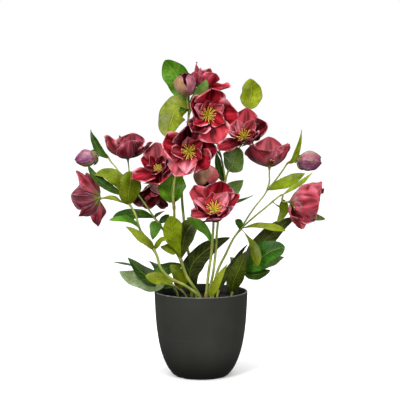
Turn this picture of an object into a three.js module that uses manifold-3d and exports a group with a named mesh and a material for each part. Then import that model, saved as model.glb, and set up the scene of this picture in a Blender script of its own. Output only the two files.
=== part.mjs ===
// A hellebore in flower, growing in a round matt black pot. Millimetres, +Z up, origin at the
// centre of the pot's base, flowers mostly turned to -Y.
//
// The pot is a thin turned shell filled with potting mix. Leafy stems and long-stalked ground
// leaves stand in plain holes in the mix. Each open flower is a ring of broad outer petals round
// a ring of small inner ones on a flat base, with a tuft of yellow stamens in the middle.
import * as THREE from "three";
import { mergeVertices } from "three/addons/utils/BufferGeometryUtils.js";
import Module from "manifold-3d";

const wasm = await Module();
wasm.setup();

// ---- Driving dimensions ----
const POT_HEIGHT = 120;
const POT_RIM_RADIUS = 66;
const POT_FOOT_RADIUS = 36;
const POT_FLARE = 0.15; // how much of its spread the pot wall gains evenly, as a cone does
const POT_WALL = 2.6;
const POT_FLOOR = 4;
const POT_SIDES = 32;
const MIX_TOP = 106; // mean height of the potting mix
const MIX_GAP = 0.5; // mix to pot wall
const HOLE_DEPTH = 10; // stems stand this deep in the mix
const FIT_GAP = 0.3; // between pieces that touch

const BLADE_THICK = 0.7; // leaves
const LEAF_FOLD = 0.22; // rise of a leaf's sides from its rib, as a share of their width
const PETAL_THICK = 0.8;
const STALK_SIDES = 5;
const STALK_STEP = 22; // length of one straight piece of a stalk
const MAIN_RADIUS = [2.3, 1.5]; // leafy stems, at the mix and at the top
const TWIG_RADIUS = [1.3, 1.0]; // flower stalks and side shoots
const RECEPTACLE_RADIUS = 2.4; // the swelling just under a flower
const RECEPTACLE_LENGTH = 5;
const APPROACH = 11; // a flower stalk runs straight for this far under its flower
const HUB_THICK = 2; // the discs that the petals grow from, over the stalk's end
const BUD_WALL = 1.6;
const TUFT_RADIUS = [1.6, 2.1]; // core that the stamens grow from, foot and top
const TUFT_HEIGHT = 4;
const STAMEN_LENGTH = 13;
const STAMEN_RADIUS = 0.5;
const STAMEN_COUNT = 6;

const GREEN = new THREE.MeshStandardMaterial({ color: 0x5c7f22, roughness: 0.55, metalness: 0 });
const DARK_GREEN = new THREE.MeshStandardMaterial({ color: 0x24431c, roughness: 0.5, metalness: 0 });
const CRIMSON = new THREE.MeshStandardMaterial({ color: 0xa32238, roughness: 0.6, metalness: 0 });
const BUD_PINK = new THREE.MeshStandardMaterial({ color: 0xa5687c, roughness: 0.55, metalness: 0 });
const YELLOW = new THREE.MeshStandardMaterial({ color: 0xc9b52c, roughness: 0.6, metalness: 0 });
const POT_BLACK = new THREE.MeshStandardMaterial({ color: 0x2b2c29, roughness: 0.6, metalness: 0 });
const MIX_BLACK = new THREE.MeshStandardMaterial({ color: 0x16120e, roughness: 0.95, metalness: 0 });

const plant = new THREE.Group();

// ---- Small tools ----
const vec = (p) => new THREE.Vector3(...p);
const radians = (degrees) => (degrees * Math.PI) / 180;
// A repeatable draw from -1 to 1 for the k-th choice about the i-th piece of a seeded group.
function draw(seed, i, k) {
  const x = Math.sin(seed * 37.719 + i * 12.9898 + k * 78.233) * 43758.5453;
  return 2 * (x - Math.floor(x)) - 1;
}

function geometryOf(points, faces) {
  const g = new THREE.BufferGeometry();
  g.setAttribute("position", new THREE.Float32BufferAttribute(points.flatMap((p) => p.toArray()), 3));
  g.setIndex(faces.flat());
  return g;
}

function solidOf(geometry) {
  const g = geometry.clone();
  g.deleteAttribute("normal");
  g.deleteAttribute("uv");
  const merged = mergeVertices(g, 1e-4);
  return new wasm.Manifold(
    new wasm.Mesh({
      numProp: 3,
      vertProperties: new Float32Array(merged.attributes.position.array),
      triVerts: new Uint32Array(merged.index.array),
    }),
  );
}

const fuse = (solids) => solids.reduce((all, one) => all.add(one));

// The body itself, without the specks that surfaces leave where they only graze each other.
function withoutSpecks(solid) {
  return solid.decompose().reduce((best, one) => (one.volume() > best.volume() ? one : best));
}

function addNode(name, solid, material) {
  const { vertProperties, triVerts } = solid.getMesh();
  const g = new THREE.BufferGeometry();
  g.setAttribute("position", new THREE.BufferAttribute(new Float32Array(vertProperties), 3));
  g.setIndex(new THREE.BufferAttribute(new Uint32Array(triVerts), 1));
  g.computeVertexNormals();
  const mesh = new THREE.Mesh(g, material);
  mesh.name = name;
  plant.add(mesh);
}

// A closed solid through rings of points, all with the same count, with flat ends.
function loft(rings) {
  const sides = rings[0].length;
  const points = rings.flat();
  const faces = [];
  for (let i = 0; i + 1 < rings.length; i++)
    for (let j = 0; j < sides; j++) {
      const a = i * sides + j;
      const b = i * sides + ((j + 1) % sides);
      faces.push([a, b, b + sides], [a, b + sides, a + sides]);
    }
  const last = sides * (rings.length - 1);
  for (let j = 1; j + 1 < sides; j++) faces.push([0, j + 1, j], [last, last + j, last + j + 1]);
  return solidOf(geometryOf(points, faces));
}

// A round stalk along a smooth curve. radiusAt gives its radius at each of the stops, which are
// shares of the curve's length.
function tube(curve, stops, radiusAt, sides = STALK_SIDES) {
  const fine = 60;
  const { normals, binormals } = curve.computeFrenetFrames(fine, false);
  const rings = stops.map((u) => {
    const k = Math.round(u * fine);
    return Array.from({ length: sides }, (_, j) => {
      const a = (2 * Math.PI * j) / sides;
      return curve
        .getPointAt(u)
        .addScaledVector(normals[k], radiusAt(u) * Math.cos(a))
        .addScaledVector(binormals[k], radiusAt(u) * Math.sin(a));
    });
  });
  return loft(rings);
}

// A straight taper between two points.
function taper(from, to, startRadius, endRadius, sides) {
  return tube(new THREE.LineCurve3(from, to), [0, 1], (u) => (u ? endRadius : startRadius), sides);
}

// The skin of a thin blade on the mid surface at(s, t), s from root to tip and t from -1 to 1
// across. It has a left edge, a rib and a right edge at each stop, two points at the root and one
// at the tip, each point followed by its twin on the lower face. The root is left open.
function bladeSkin(at, stops, thick, points, faces) {
  const step = 1e-3;
  const rows = stops.map((s, i) => {
    const across = i === 0 ? [-1, 1] : s === 1 ? [0] : [-1, 0, 1];
    return across.map((t) => {
      const along = at(Math.min(s, 1 - step) + step, t).sub(at(Math.min(s, 1 - step), t));
      const level = Math.max(s, step);
      const side = at(level, Math.min(t + step, 1)).sub(at(level, Math.min(t, 1 - step)));
      const normal = along.cross(side).normalize();
      const middle = at(s, t);
      points.push(middle.clone().addScaledVector(normal, thick / 2));
      points.push(middle.addScaledVector(normal, -thick / 2));
      return points.length - 2;
    });
  });
  const twin = (a, b, c) => faces.push([a, b, c], [a + 1, c + 1, b + 1]);
  for (let i = 0; i + 1 < rows.length; i++) {
    const [a, b] = [rows[i], rows[i + 1]];
    rim(faces, a[0], b[0]);
    rim(faces, b.at(-1), a.at(-1));
    if (i === 0) {
      twin(a[0], b[0], b[1]);
      twin(a[0], b[1], a[1]);
      twin(a[1], b[1], b[2]);
    } else if (b.length === 1) {
      twin(a[0], b[0], a[1]);
      twin(a[1], b[0], a[2]);
    } else
      for (const j of [0, 1]) {
        twin(a[j], b[j], b[j + 1]);
        twin(a[j], b[j + 1], a[j + 1]);
      }
  }
  return rows[0];
}

// The edge strip between two points of a blade and their twins.
const rim = (faces, a, b) => faces.push([a, a + 1, b + 1], [a, b + 1, b]);

// Half width, as a share of the greatest, of a blade that is widest at peak and whose outline is
// rounder the smaller full is.
function outline(s, peak, full) {
  return Math.pow(Math.max(Math.sin(Math.PI * Math.pow(s, Math.log(0.5) / Math.log(peak))), 0), full);
}

// ---- Pot and potting mix ----
function potRadius(z) {
  const up = z / POT_HEIGHT;
  const belly = Math.pow(1 - Math.pow(1 - up, 3.2), 0.68);
  const spread = (1 - POT_FLARE) * belly + POT_FLARE * up;
  return POT_FOOT_RADIUS + (POT_RIM_RADIUS - POT_FOOT_RADIUS) * spread;
}
const cavityRadius = (z) => potRadius(z) - POT_WALL;

function potShell() {
  const outside = [0, 2, 8, 24, 52, 90].map((z) => [potRadius(z + 0.6), z]);
  const rim = [[POT_RIM_RADIUS, POT_HEIGHT - 1], [POT_RIM_RADIUS - POT_WALL / 2, POT_HEIGHT]];
  const inside = [118.6, 90, 52, 24, 8, POT_FLOOR].map((z) => [cavityRadius(z), z]);
  const profile = [[0, 0], ...outside, ...rim, ...inside, [0, POT_FLOOR]];
  return new THREE.LatheGeometry(profile.map(([r, z]) => new THREE.Vector2(r, z)), POT_SIDES);
}

const mixHeight = (x, y) =>
  MIX_TOP + 0.35 * Math.sin(0.23 * x + 1) * Math.cos(0.19 * y) + 0.3 * Math.sin(0.11 * x - 0.17 * y);

function mixFill() {
  const wall = [8, 24, 52, 90, MIX_TOP].map((z) => [cavityRadius(z) - MIX_GAP, z]);
  const surface = [42, 22].map((r) => [r, MIX_TOP]);
  const floor = POT_FLOOR + FIT_GAP;
  const profile = [[0, floor], [cavityRadius(POT_FLOOR) - 1, floor], ...wall, ...surface, [0, MIX_TOP]];
  const g = new THREE.LatheGeometry(profile.map(([r, z]) => new THREE.Vector2(r, z)), POT_SIDES);
  const p = g.attributes.position;
  for (let i = 0; i < p.count; i++)
    if (p.getY(i) > MIX_TOP - 0.01) p.setY(i, mixHeight(p.getX(i), -p.getZ(i)));
  return g;
}

// Lathe geometries turn about their own Y, so each is stood up before it is used.
const standUp = (geometry) => geometry.rotateX(Math.PI / 2);

function plainHole([x, y], radius) {
  const drill = new THREE.CylinderGeometry(radius, radius, 2 * HOLE_DEPTH, 6).rotateX(Math.PI / 2);
  return solidOf(drill.translate(x, y, MIX_TOP + 0.01 - FIT_GAP));
}

// ---- Leafy stems ----
// stalks: each is a list of points that its middle passes through. One that stands in the mix is
// rooted, and any other grows from the nearest point of the stalks before it. flower: the name of
// the flower or bud on its end.
// leaves: [root, middle, tip, width, face, outline] with face the way the upper side looks.
const holes = [];
const flowerFrames = new Map();

// The point nearest to p on the middle lines of stalks, each a list of points.
function nearestOn(lines, p) {
  const foot = (from, to) => new THREE.Line3(from, to).closestPointToPoint(p, true, new THREE.Vector3());
  const feet = lines.flatMap((line) => line.slice(1).map((end, i) => foot(line[i], end)));
  return feet.reduce((best, one) => (one.distanceTo(p) < best.distanceTo(p) ? one : best));
}

// Where a leaf has points, from root to tip.
const WIDE_LEAF = 20;
const WIDE_LEAF_STOPS = [0, 0.2, 0.5, 0.82, 1];
const LEAF_STOPS = [0, 0.3, 0.7, 1];

// peak and full: the leaf's outline. It is folded up along its rib.
function leafBlade(root, middle, tip, width, face, { peak = 0.45, full = 0.8 }) {
  const bend = middle.clone().multiplyScalar(2).sub(root.clone().add(tip).multiplyScalar(0.5));
  const rib = new THREE.QuadraticBezierCurve3(root, bend, tip);
  const at = (s, t) => {
    const along = rib.getTangent(s);
    const up = vec(face);
    up.addScaledVector(along, -up.dot(along)).normalize();
    const side = up.clone().cross(along);
    const half = Math.max((width / 2) * outline(s, peak, full), 0.6);
    return rib
      .getPoint(s)
      .addScaledVector(side, half * t)
      .addScaledVector(up, LEAF_FOLD * half * Math.abs(t));
  };
  const points = [];
  const faces = [];
  const stops = width > WIDE_LEAF ? WIDE_LEAF_STOPS : LEAF_STOPS;
  const [left, right] = bladeSkin(at, stops, BLADE_THICK, points, faces);
  rim(faces, right, left);
  return solidOf(geometryOf(points, faces));
}

// A stalk from the mix or from a branch point, swelling where it carries a flower. buried: the
// length that stands upright in the mix.
function stalk(path, [startRadius, endRadius], buried, flower) {
  const curve = new THREE.CatmullRomCurve3(path, false, "centripetal");
  const length = curve.getLength();
  const free = buried / length;
  const plain = flower ? 1 - RECEPTACLE_LENGTH / length : 1;
  const count = Math.max(2, Math.round(((plain - free) * length) / STALK_STEP));
  const stops = Array.from({ length: count }, (_, i) => free + ((plain - free) * i) / count);
  stops.push(plain);
  if (buried) stops.unshift(0);
  const radiusAt = (u) => (u > plain ? RECEPTACLE_RADIUS : startRadius + (endRadius - startRadius) * u);
  if (flower) stops.push(1);
  return [stops.map((u) => curve.getPointAt(u)), tube(curve, stops, radiusAt)];
}

function leafyStem(name, stalks, leaves, material = GREEN) {
  const lines = [];
  const solids = [];
  for (const { points, rooted, flower, thick } of stalks) {
    const path = points.map(vec);
    const radii = thick || (rooted ? MAIN_RADIUS : TWIG_RADIUS);
    if (rooted) {
      path.unshift(path[0].clone().setZ(MIX_TOP - HOLE_DEPTH));
      holes.push([[path[0].x, path[0].y], radii[0] + 0.7]);
    } else path[0] = nearestOn(lines, path[0]);
    if (flower) {
      const { origin, axis } = flowerFrames.get(flower);
      path.push(origin.clone().addScaledVector(axis, -APPROACH));
      path.push(origin.clone().addScaledVector(axis, -FIT_GAP));
    }
    const [line, solid] = stalk(path, radii, rooted ? path[1].z - path[0].z : 0, flower);
    lines.push(line);
    solids.push(solid);
  }
  for (const [root, middle, tip, width, face, style] of leaves)
    solids.push(leafBlade(nearestOn(lines, vec(root)), vec(middle), vec(tip), width, face, style));
  addNode(name, fuse(solids), material);
}

// ---- Flowers ----
// Kinds of petal. root: where it starts, out from the flower's axis and up it; peak and full: its
// outline; claw: its least half width; cup, tilt and wave: how its sides rise, lean and ruffle;
// stops: where it has points, from root to tip.
const ROUND = {
  root: [3.4, 0.7],
  peak: 0.6,
  full: 0.56,
  claw: 1.3,
  cup: 0.42,
  tilt: 0.25,
  wave: 0.28,
  stops: [0, 0.25, 0.55, 0.84, 1],
};
const POINTED = { ...ROUND, peak: 0.52, full: 1 };
const RUFFLED = { ...ROUND, full: 0.38 };
const CUPPED = { ...ROUND, peak: 0.55, full: 0.45 };
const TWISTED = { ...ROUND, tilt: 0.8 };
const BELL = { ...ROUND, peak: 0.45, full: 0.42, claw: 3, cup: 0.3, stops: [0, 0.55, 1] };
const SMALL = {
  root: [2, 1.5],
  peak: 0.5,
  full: 0.9,
  claw: 0.9,
  cup: 0.4,
  tilt: 0.3,
  wave: 0.25,
  stops: [0, 0.5, 1],
};

// The mid surface of one petal, from root to tip, that leans out from the axis: start and end are
// its angles from flat at the two.
function petalSurface({ origin, axis, x, y }, kind, azimuth, length, width, start, end) {
  const out = x.clone().multiplyScalar(Math.cos(azimuth)).addScaledVector(y, Math.sin(azimuth));
  const side = x.clone().multiplyScalar(-Math.sin(azimuth)).addScaledVector(y, Math.cos(azimuth));
  const run = length / (end - start);
  return (s, t) => {
    const lean = start + (end - start) * s;
    const half = Math.max((width / 2) * outline(s, kind.peak, kind.full), kind.claw);
    const ripple = kind.wave * s * t * t * Math.sin(5 * s + 2 * t + azimuth);
    const lift = half * (kind.cup * t * t + kind.tilt * t + ripple);
    const reach = kind.root[0] + run * (Math.sin(lean) - Math.sin(start)) - lift * Math.sin(lean);
    const height = kind.root[1] + run * (Math.cos(start) - Math.cos(lean)) + lift * Math.cos(lean);
    return origin
      .clone()
      .addScaledVector(out, reach)
      .addScaledVector(side, half * t)
      .addScaledVector(axis, height);
  };
}

function surfaceOf(frame, [kind, azimuth, length, width, start, end]) {
  return petalSurface(frame, kind, radians(azimuth), length, width, radians(start), radians(end));
}

// One petal by itself, closed at its root.
function petal(frame, one) {
  const points = [];
  const faces = [];
  const [left, right] = bladeSkin(surfaceOf(frame, one), one[0].stops, PETAL_THICK, points, faces);
  rim(faces, right, left);
  return solidOf(geometryOf(points, faces));
}

// Petals that stand clear of each other, joined at their roots by the small disc they grow from.
function layer(frame, petals) {
  const points = [];
  const faces = [];
  const roots = petals
    .toSorted((a, b) => a[1] - b[1])
    .flatMap((one) => bladeSkin(surfaceOf(frame, one), one[0].stops, PETAL_THICK, points, faces));
  const count = roots.length;
  for (let i = 1; i < count; i += 2) rim(faces, roots[i], roots[(i + 1) % count]);
  for (let i = 1; i + 1 < count; i++) {
    faces.push([roots[0], roots[i], roots[i + 1]]);
    faces.push([roots[0] + 1, roots[i + 1] + 1, roots[i] + 1]);
  }
  return solidOf(geometryOf(points, faces));
}

// A ring of petals, in as few layers as leave no two petals of a layer crossing.
function ring(frame, petals) {
  const layers = [];
  for (const one of petals) {
    const solid = petal(frame, one);
    const clear = ({ solids }) => solids.every((other) => solid.intersect(other).isEmpty());
    const room = layers.find(clear) || layers[layers.push({ petals: [], solids: [] }) - 1];
    room.petals.push(one);
    room.solids.push(solid);
  }
  return fuse(layers.map((one) => layer(frame, one.petals)));
}

function tuft(frame, seed) {
  const base = frame.origin.clone().addScaledVector(frame.axis, HUB_THICK + FIT_GAP);
  const top = base.clone().addScaledVector(frame.axis, TUFT_HEIGHT);
  const solids = [taper(base, top, ...TUFT_RADIUS, 5)];
  const start = base.clone().addScaledVector(frame.axis, 1);
  for (let i = 0; i < STAMEN_COUNT; i++) {
    const azimuth = (2 * Math.PI * (i + 0.3 * draw(seed, i, 4))) / STAMEN_COUNT;
    const lean = radians(i % 2 ? 76 : 58);
    const tip = start
      .clone()
      .addScaledVector(frame.x, STAMEN_LENGTH * Math.cos(lean) * Math.cos(azimuth))
      .addScaledVector(frame.y, STAMEN_LENGTH * Math.cos(lean) * Math.sin(azimuth))
      .addScaledVector(frame.axis, STAMEN_LENGTH * Math.sin(lean));
    solids.push(taper(start, tip, STAMEN_RADIUS, STAMEN_RADIUS * 1.3, 3));
  }
  return fuse(solids);
}

// at: where the stalk ends; faces: the way the flower looks; petals: kind, degrees round from the
// flower's right, length, width, and the angles from flat at which it starts and ends.
const FLOWERS = [
  {
    name: "bloom_crown",
    at: [9, -60, 368],
    faces: [0.05, -1, 0.1],
    petals: [
      [ROUND, 85, 46, 42, 12, 84],
      [ROUND, 150, 36, 34, 15, 75],
      [ROUND, 230, 44, 32, 12, 76],
      [ROUND, 288, 46, 44, 5, 52],
      [ROUND, 0, 44, 40, 8, 58],
      [SMALL, 98, 26, 20, 25, 75],
      [SMALL, 30, 29, 22, 25, 62],
      [SMALL, 329, 31, 22, 20, 60],
      [SMALL, 218, 31, 22, 20, 60],
      [SMALL, 155, 28, 20, 25, 70],
    ],
  },
  {
    name: "bloom_heart",
    at: [-16, -42, 318],
    faces: [-0.04, -1, 0.1],
    petals: [
      [ROUND, 165, 42, 42, 8, 62],
      [ROUND, 95, 42, 42, 12, 74],
      [ROUND, 7, 44, 38, 8, 62],
      [ROUND, 322, 43, 36, 8, 66],
      [ROUND, 245, 43, 38, 6, 58],
      [SMALL, 95, 26, 18, 25, 70],
      [SMALL, 40, 30, 20, 25, 68],
      [SMALL, 330, 28, 20, 22, 68],
      [SMALL, 265, 38, 26, 15, 62],
      [SMALL, 185, 32, 22, 22, 70],
    ],
  },
  {
    name: "bloom_right_high",
    at: [61, -4, 334],
    faces: [-0.15, -0.75, 0.7],
    petals: [
      [ROUND, 88, 43, 34, 10, 68],
      [ROUND, 15, 40, 34, 10, 62],
      [ROUND, 312, 36, 32, 15, 75],
      [ROUND, 220, 40, 36, -6, 26],
      [ROUND, 160, 34, 30, 12, 70],
      [SMALL, 120, 27, 16, 25, 70],
      [SMALL, 50, 30, 20, 25, 72],
      [SMALL, 335, 28, 22, 20, 72],
      [SMALL, 265, 24, 18, 20, 72],
      [SMALL, 190, 26, 18, 20, 70],
    ],
  },
  {
    name: "bloom_front_low",
    at: [17, -66, 238],
    faces: [0.02, -0.78, 0.62],
    petals: [
      [CUPPED, 154, 43, 46, 8, 68],
      [ROUND, 70, 43, 42, 12, 78],
      [POINTED, 22, 41, 28, 8, 58],
      [ROUND, 288, 35, 46, 8, 74],
      [POINTED, 206, 35, 30, 0, 40],
      [SMALL, 100, 26, 22, 25, 75],
      [SMALL, 40, 32, 24, 22, 70],
      [SMALL, 330, 26, 18, 20, 75],
      [SMALL, 255, 22, 18, 20, 75],
      [SMALL, 172, 34, 26, 15, 66],
    ],
  },
  {
    name: "bloom_left_mid",
    at: [-59, -12, 292],
    faces: [-0.2, -0.85, 0.48],
    petals: [
      [ROUND, 98, 36, 34, 12, 60],
      [ROUND, 158, 27, 22, 10, 60],
      [POINTED, 224, 45, 38, 8, 58],
      [ROUND, 285, 40, 44, 5, 66],
      [ROUND, 345, 34, 34, 15, 80],
      [SMALL, 60, 22, 16, 25, 75],
      [SMALL, 132, 22, 16, 25, 75],
      [SMALL, 204, 22, 16, 25, 75],
      [SMALL, 276, 22, 16, 25, 75],
      [SMALL, 348, 22, 16, 25, 75],
    ],
  },
  {
    name: "bloom_left_cup",
    at: [-105, 34, 305],
    faces: [-0.1, -0.2, 0.97],
    petals: [
      [ROUND, 292, 40, 42, 15, 98],
      [ROUND, 68, 42, 42, 15, 92],
      [CUPPED, 146, 50, 48, 4, 86],
      [POINTED, 2, 40, 19, 10, 52],
      [POINTED, 112, 40, 18, 20, 88],
      [SMALL, 20, 28, 18, 35, 85],
      [SMALL, 92, 28, 18, 35, 85],
      [SMALL, 164, 28, 18, 35, 85],
      [SMALL, 236, 28, 18, 35, 85],
      [SMALL, 308, 28, 18, 35, 85],
    ],
  },
  {
    name: "bloom_right_cup",
    at: [97, 14, 294],
    faces: [0, -0.1, 1],
    petals: [
      [POINTED, 210, 47, 46, 18, 78],
      [POINTED, 320, 49, 32, 22, 74],
      [ROUND, 92, 50, 44, 20, 98],
      [POINTED, 30, 44, 26, 20, 80],
      [ROUND, 150, 44, 34, 20, 86],
      [SMALL, 56, 28, 18, 35, 85],
      [SMALL, 128, 28, 18, 35, 85],
      [SMALL, 200, 26, 16, 35, 85],
      [SMALL, 272, 12, 12, 35, 60],
      [SMALL, 344, 28, 18, 35, 85],
    ],
  },
  {
    name: "bloom_far_left",
    at: [-142, -4, 251],
    faces: [-0.85, 0.5, -0.05],
    petals: [
      [POINTED, 66, 49, 30, 10, 52],
      [CUPPED, 102, 42, 36, 5, 66],
      [ROUND, 14, 40, 40, 15, 75],
      [POINTED, 262, 39, 28, -5, 34],
      [POINTED, 315, 38, 22, 5, 65],
      [SMALL, 40, 24, 16, 30, 70],
      [SMALL, 112, 24, 16, 30, 70],
      [SMALL, 184, 24, 16, 30, 70],
      [SMALL, 256, 24, 16, 30, 70],
      [SMALL, 328, 24, 16, 30, 70],
    ],
  },
  {
    name: "bloom_far_right",
    at: [124, -16, 247],
    faces: [0.94, -0.22, -0.06],
    petals: [
      [RUFFLED, 170, 54, 50, 32, 84],
      [RUFFLED, 108, 52, 42, 34, 86],
      [RUFFLED, 250, 42, 46, 2, 62],
      [RUFFLED, 55, 51, 36, 36, 92],
      [RUFFLED, 316, 46, 40, 24, 80],
      [SMALL, 70, 32, 20, 35, 80],
      [SMALL, 142, 32, 20, 35, 80],
      [SMALL, 214, 32, 20, 35, 80],
      [SMALL, 286, 32, 20, 35, 80],
      [SMALL, 358, 32, 20, 35, 80],
    ],
  },
  {
    name: "bloom_top_back",
    at: [-2, 24, 405],
    faces: [0.25, 0.1, 0.95],
    petals: [
      [POINTED, 165, 38, 20, 50, 98],
      [POINTED, 60, 36, 22, 62, 82],
      [CUPPED, 310, 35, 40, 8, 84],
      [TWISTED, 352, 41, 18, 8, 30],
      [ROUND, 225, 26, 22, 15, 85],
      [SMALL, 112, 34, 17, 45, 84],
      [SMALL, 182, 24, 15, 35, 85],
      [SMALL, 254, 24, 15, 35, 85],
      [SMALL, 326, 24, 15, 35, 85],
      [SMALL, 38, 24, 15, 35, 85],
    ],
  },
  {
    name: "bloom_nodding",
    at: [-68, 42, 269],
    faces: [-0.03, -0.47, -0.87],
    petals: [
      [BELL, 90, 36, 26, 76, 40],
      [BELL, 164, 42, 32, 72, 12],
      [BELL, 20, 42, 32, 72, 12],
      [BELL, 236, 38, 28, 75, 20],
      [BELL, 308, 38, 28, 75, 20],
      [SMALL, 50, 18, 9, 54, 62],
      [SMALL, 122, 18, 9, 54, 62],
      [SMALL, 194, 18, 9, 54, 62],
      [SMALL, 266, 18, 9, 54, 62],
      [SMALL, 338, 18, 9, 54, 62],
    ],
  },
];

// size: length and greatest radius; mouth: open at its tip.
const BUDS = [
  { name: "bud_top", at: [-20, 0, 394], faces: [-0.1, -0.25, 0.95], size: [31, 15], mouth: true },
  { name: "bud_hanging", at: [5, -22, 300], faces: [0.05, -0.25, -0.95], size: [28, 14], mouth: true },
  { name: "bud_left", at: [-145, 0, 311], faces: [-0.96, -0.15, -0.22], size: [33, 11.5] },
  { name: "bud_right", at: [135, 6, 302], faces: [0.98, -0.12, 0.05], size: [34, 13.5] },
];

function frameOf({ at, faces }) {
  const axis = vec(faces).normalize();
  const up = Math.abs(axis.z) < 0.9 ? vec([0, 0, 1]) : vec([0, 1, 0]);
  const x = up.cross(axis).normalize();
  return { origin: vec(at), axis, x, y: axis.clone().cross(x) };
}

function flower({ name, petals }, seed) {
  const frame = flowerFrames.get(name);
  const [outer, inner] = [petals.slice(0, 5), petals.slice(5)];
  addNode(name + "_petals", withoutSpecks(ring(frame, outer).add(ring(frame, inner))), CRIMSON);
  addNode(name + "_stamens", tuft(frame, seed), YELLOW);
}

// A bud is five petals wrapped round each other, each with one free edge standing proud. An open
// one is hollow from its mouth down.
function bud({ name, size: [length, radius], mouth }) {
  const { origin, axis, x, y } = flowerFrames.get(name);
  const girth = (s) => Math.max(radius * outline(s * (mouth ? 0.9 : 1), 0.46, 0.62), 1.4);
  const level = (s, wall) =>
    Array.from({ length: 10 }, (_, j) => {
      const a = (Math.PI * j) / 5 + 0.7 * s;
      const r = (girth(s) - wall) * (j % 2 ? 1.06 : 0.94);
      const tip = mouth && s > 0.9 ? (j % 2 ? -0.06 : 0.06) : 0;
      return origin
        .clone()
        .addScaledVector(x, r * Math.cos(a))
        .addScaledVector(y, r * Math.sin(a))
        .addScaledVector(axis, length * (s + tip));
    });
  const outside = [0, 0.1, 0.3, 0.52, 0.76, 0.92, 1].map((s) => level(s, 0));
  const inside = mouth ? [1, 0.7, 0.45].map((s) => level(s, BUD_WALL)) : [];
  addNode(name, loft([...outside, ...inside]), BUD_PINK);
}

for (const one of [...FLOWERS, ...BUDS]) flowerFrames.set(one.name, frameOf(one));
FLOWERS.forEach(flower);
BUDS.forEach(bud);

// ---- The plant ----
leafyStem(
  "stem_far_left",
  [
    {
      rooted: true,
      points: [
        [1, -22, 110], [-21, -32, 131], [-41, -38, 142], [-55, -38, 156], [-62, -34, 176],
        [-72, -28, 191], [-84, -22, 207], [-92, -14, 230], [-100, -8, 243],
      ],
    },
    {
      points: [[-100, -8, 243], [-112, -6, 267], [-117, -4, 291], [-126, -2, 302]],
      flower: "bud_left",
    },
    { points: [[-100, -8, 243], [-115, -10, 248]], flower: "bloom_far_left" },
  ],
  [
    [[-100, -8, 243], [-100, -18, 268], [-97, -20, 290], 32, [0.2, -1, 0.1], { peak: 0.5, full: 0.55 }],
    [[-104, -8, 246], [-119, -10, 280], [-148, -16, 284], 23, [0, -1, 0.6], { peak: 0.55 }],
    [[-130, 0, 306], [-146, 0, 324], [-155, 4, 347], 13, [-0.3, -1, 0], { full: 1 }],
    [[-112, -5, 252], [-140, -12, 275], [-158, -14, 300], 13, [0.3, -1, 0.3], { full: 0.9 }],
    [[-112, -5, 247], [-124, -14, 252], [-137, -14, 253], 10, [0, -0.6, 1], { full: 1 }],
    [[-64, -33, 182], [-81, -40, 199], [-103, -44, 215], 14, [0.3, -1, 0.6], {}],
    [[-80, -24, 205], [-97, -26, 221], [-127, -30, 223], 11, [0.1, -1, 0.8], { peak: 0.7, full: 0.7 }],
    [[-63, -33, 183], [-55, -39, 195], [-46, -48, 196], 10, [0, -1, 0.7], {}],
    [[-37, -37, 139], [-54, -46, 142], [-76, -52, 148], 20, [0.2, -1, 0.8], { peak: 0.6, full: 0.6 }],
  ],
);

leafyStem(
  "stem_left",
  [
    {
      rooted: true,
      points: [
        [-1, -6, 110], [-20, -12, 142], [-28, -16, 165], [-35, -22, 187], [-37, -28, 212],
        [-37, -32, 234], [-38, -36, 262], [-34, -34, 288],
      ],
      flower: "bloom_heart",
    },
    {
      points: [[-28, -16, 165], [-41, -6, 185], [-49, 0, 199], [-58, 3, 213], [-67, 6, 224]],
      thick: [1.8, 1.4],
    },
    {
      points: [[-67, 6, 224], [-78, 4, 241], [-88, 8, 254], [-100, 20, 272]],
      flower: "bloom_left_cup",
    },
    { points: [[-37, -33, 241], [-41, -10, 263], [-46, -3, 281]], flower: "bloom_left_mid" },
    { points: [[-42, -9, 267], [-49, 10, 282], [-61, 32, 289]], flower: "bloom_nodding" },
  ],
  [
    [[-37, -34, 247], [-41, -16, 269], [-40, -6, 290], 38, [0, -1, 0.2], { full: 0.6 }],
    [[-67, 6, 221], [-96, 0, 228], [-124, -4, 222], 21, [0, -0.8, 0.8], { peak: 0.6, full: 0.6 }],
    [[-67, 6, 221], [-61, 2, 228], [-51, 0, 233], 5, [0, -1, 0.5], { full: 1 }],
    [[-58, 4, 218], [-64, -2, 210], [-68, -6, 193], 18, [-0.3, -1, 0], { full: 0.7 }],
    [[-59, 4, 215], [-51, 6, 222], [-45, 6, 227], 10, [0, -1, 0], {}],
    [[-29, -17, 164], [-36, -34, 196], [-42, -42, 230], 27, [0.1, -1, 0.3], { peak: 0.72, full: 0.7 }],
    [[-32, -20, 179], [-44, -28, 182], [-56, -30, 186], 15, [0, -1, 0.5], {}],
    [[-28, -15, 165], [-22, -8, 196], [-7, -6, 223], 27, [-0.3, -1, 0], { peak: 0.6, full: 0.65 }],
  ],
);

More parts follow.
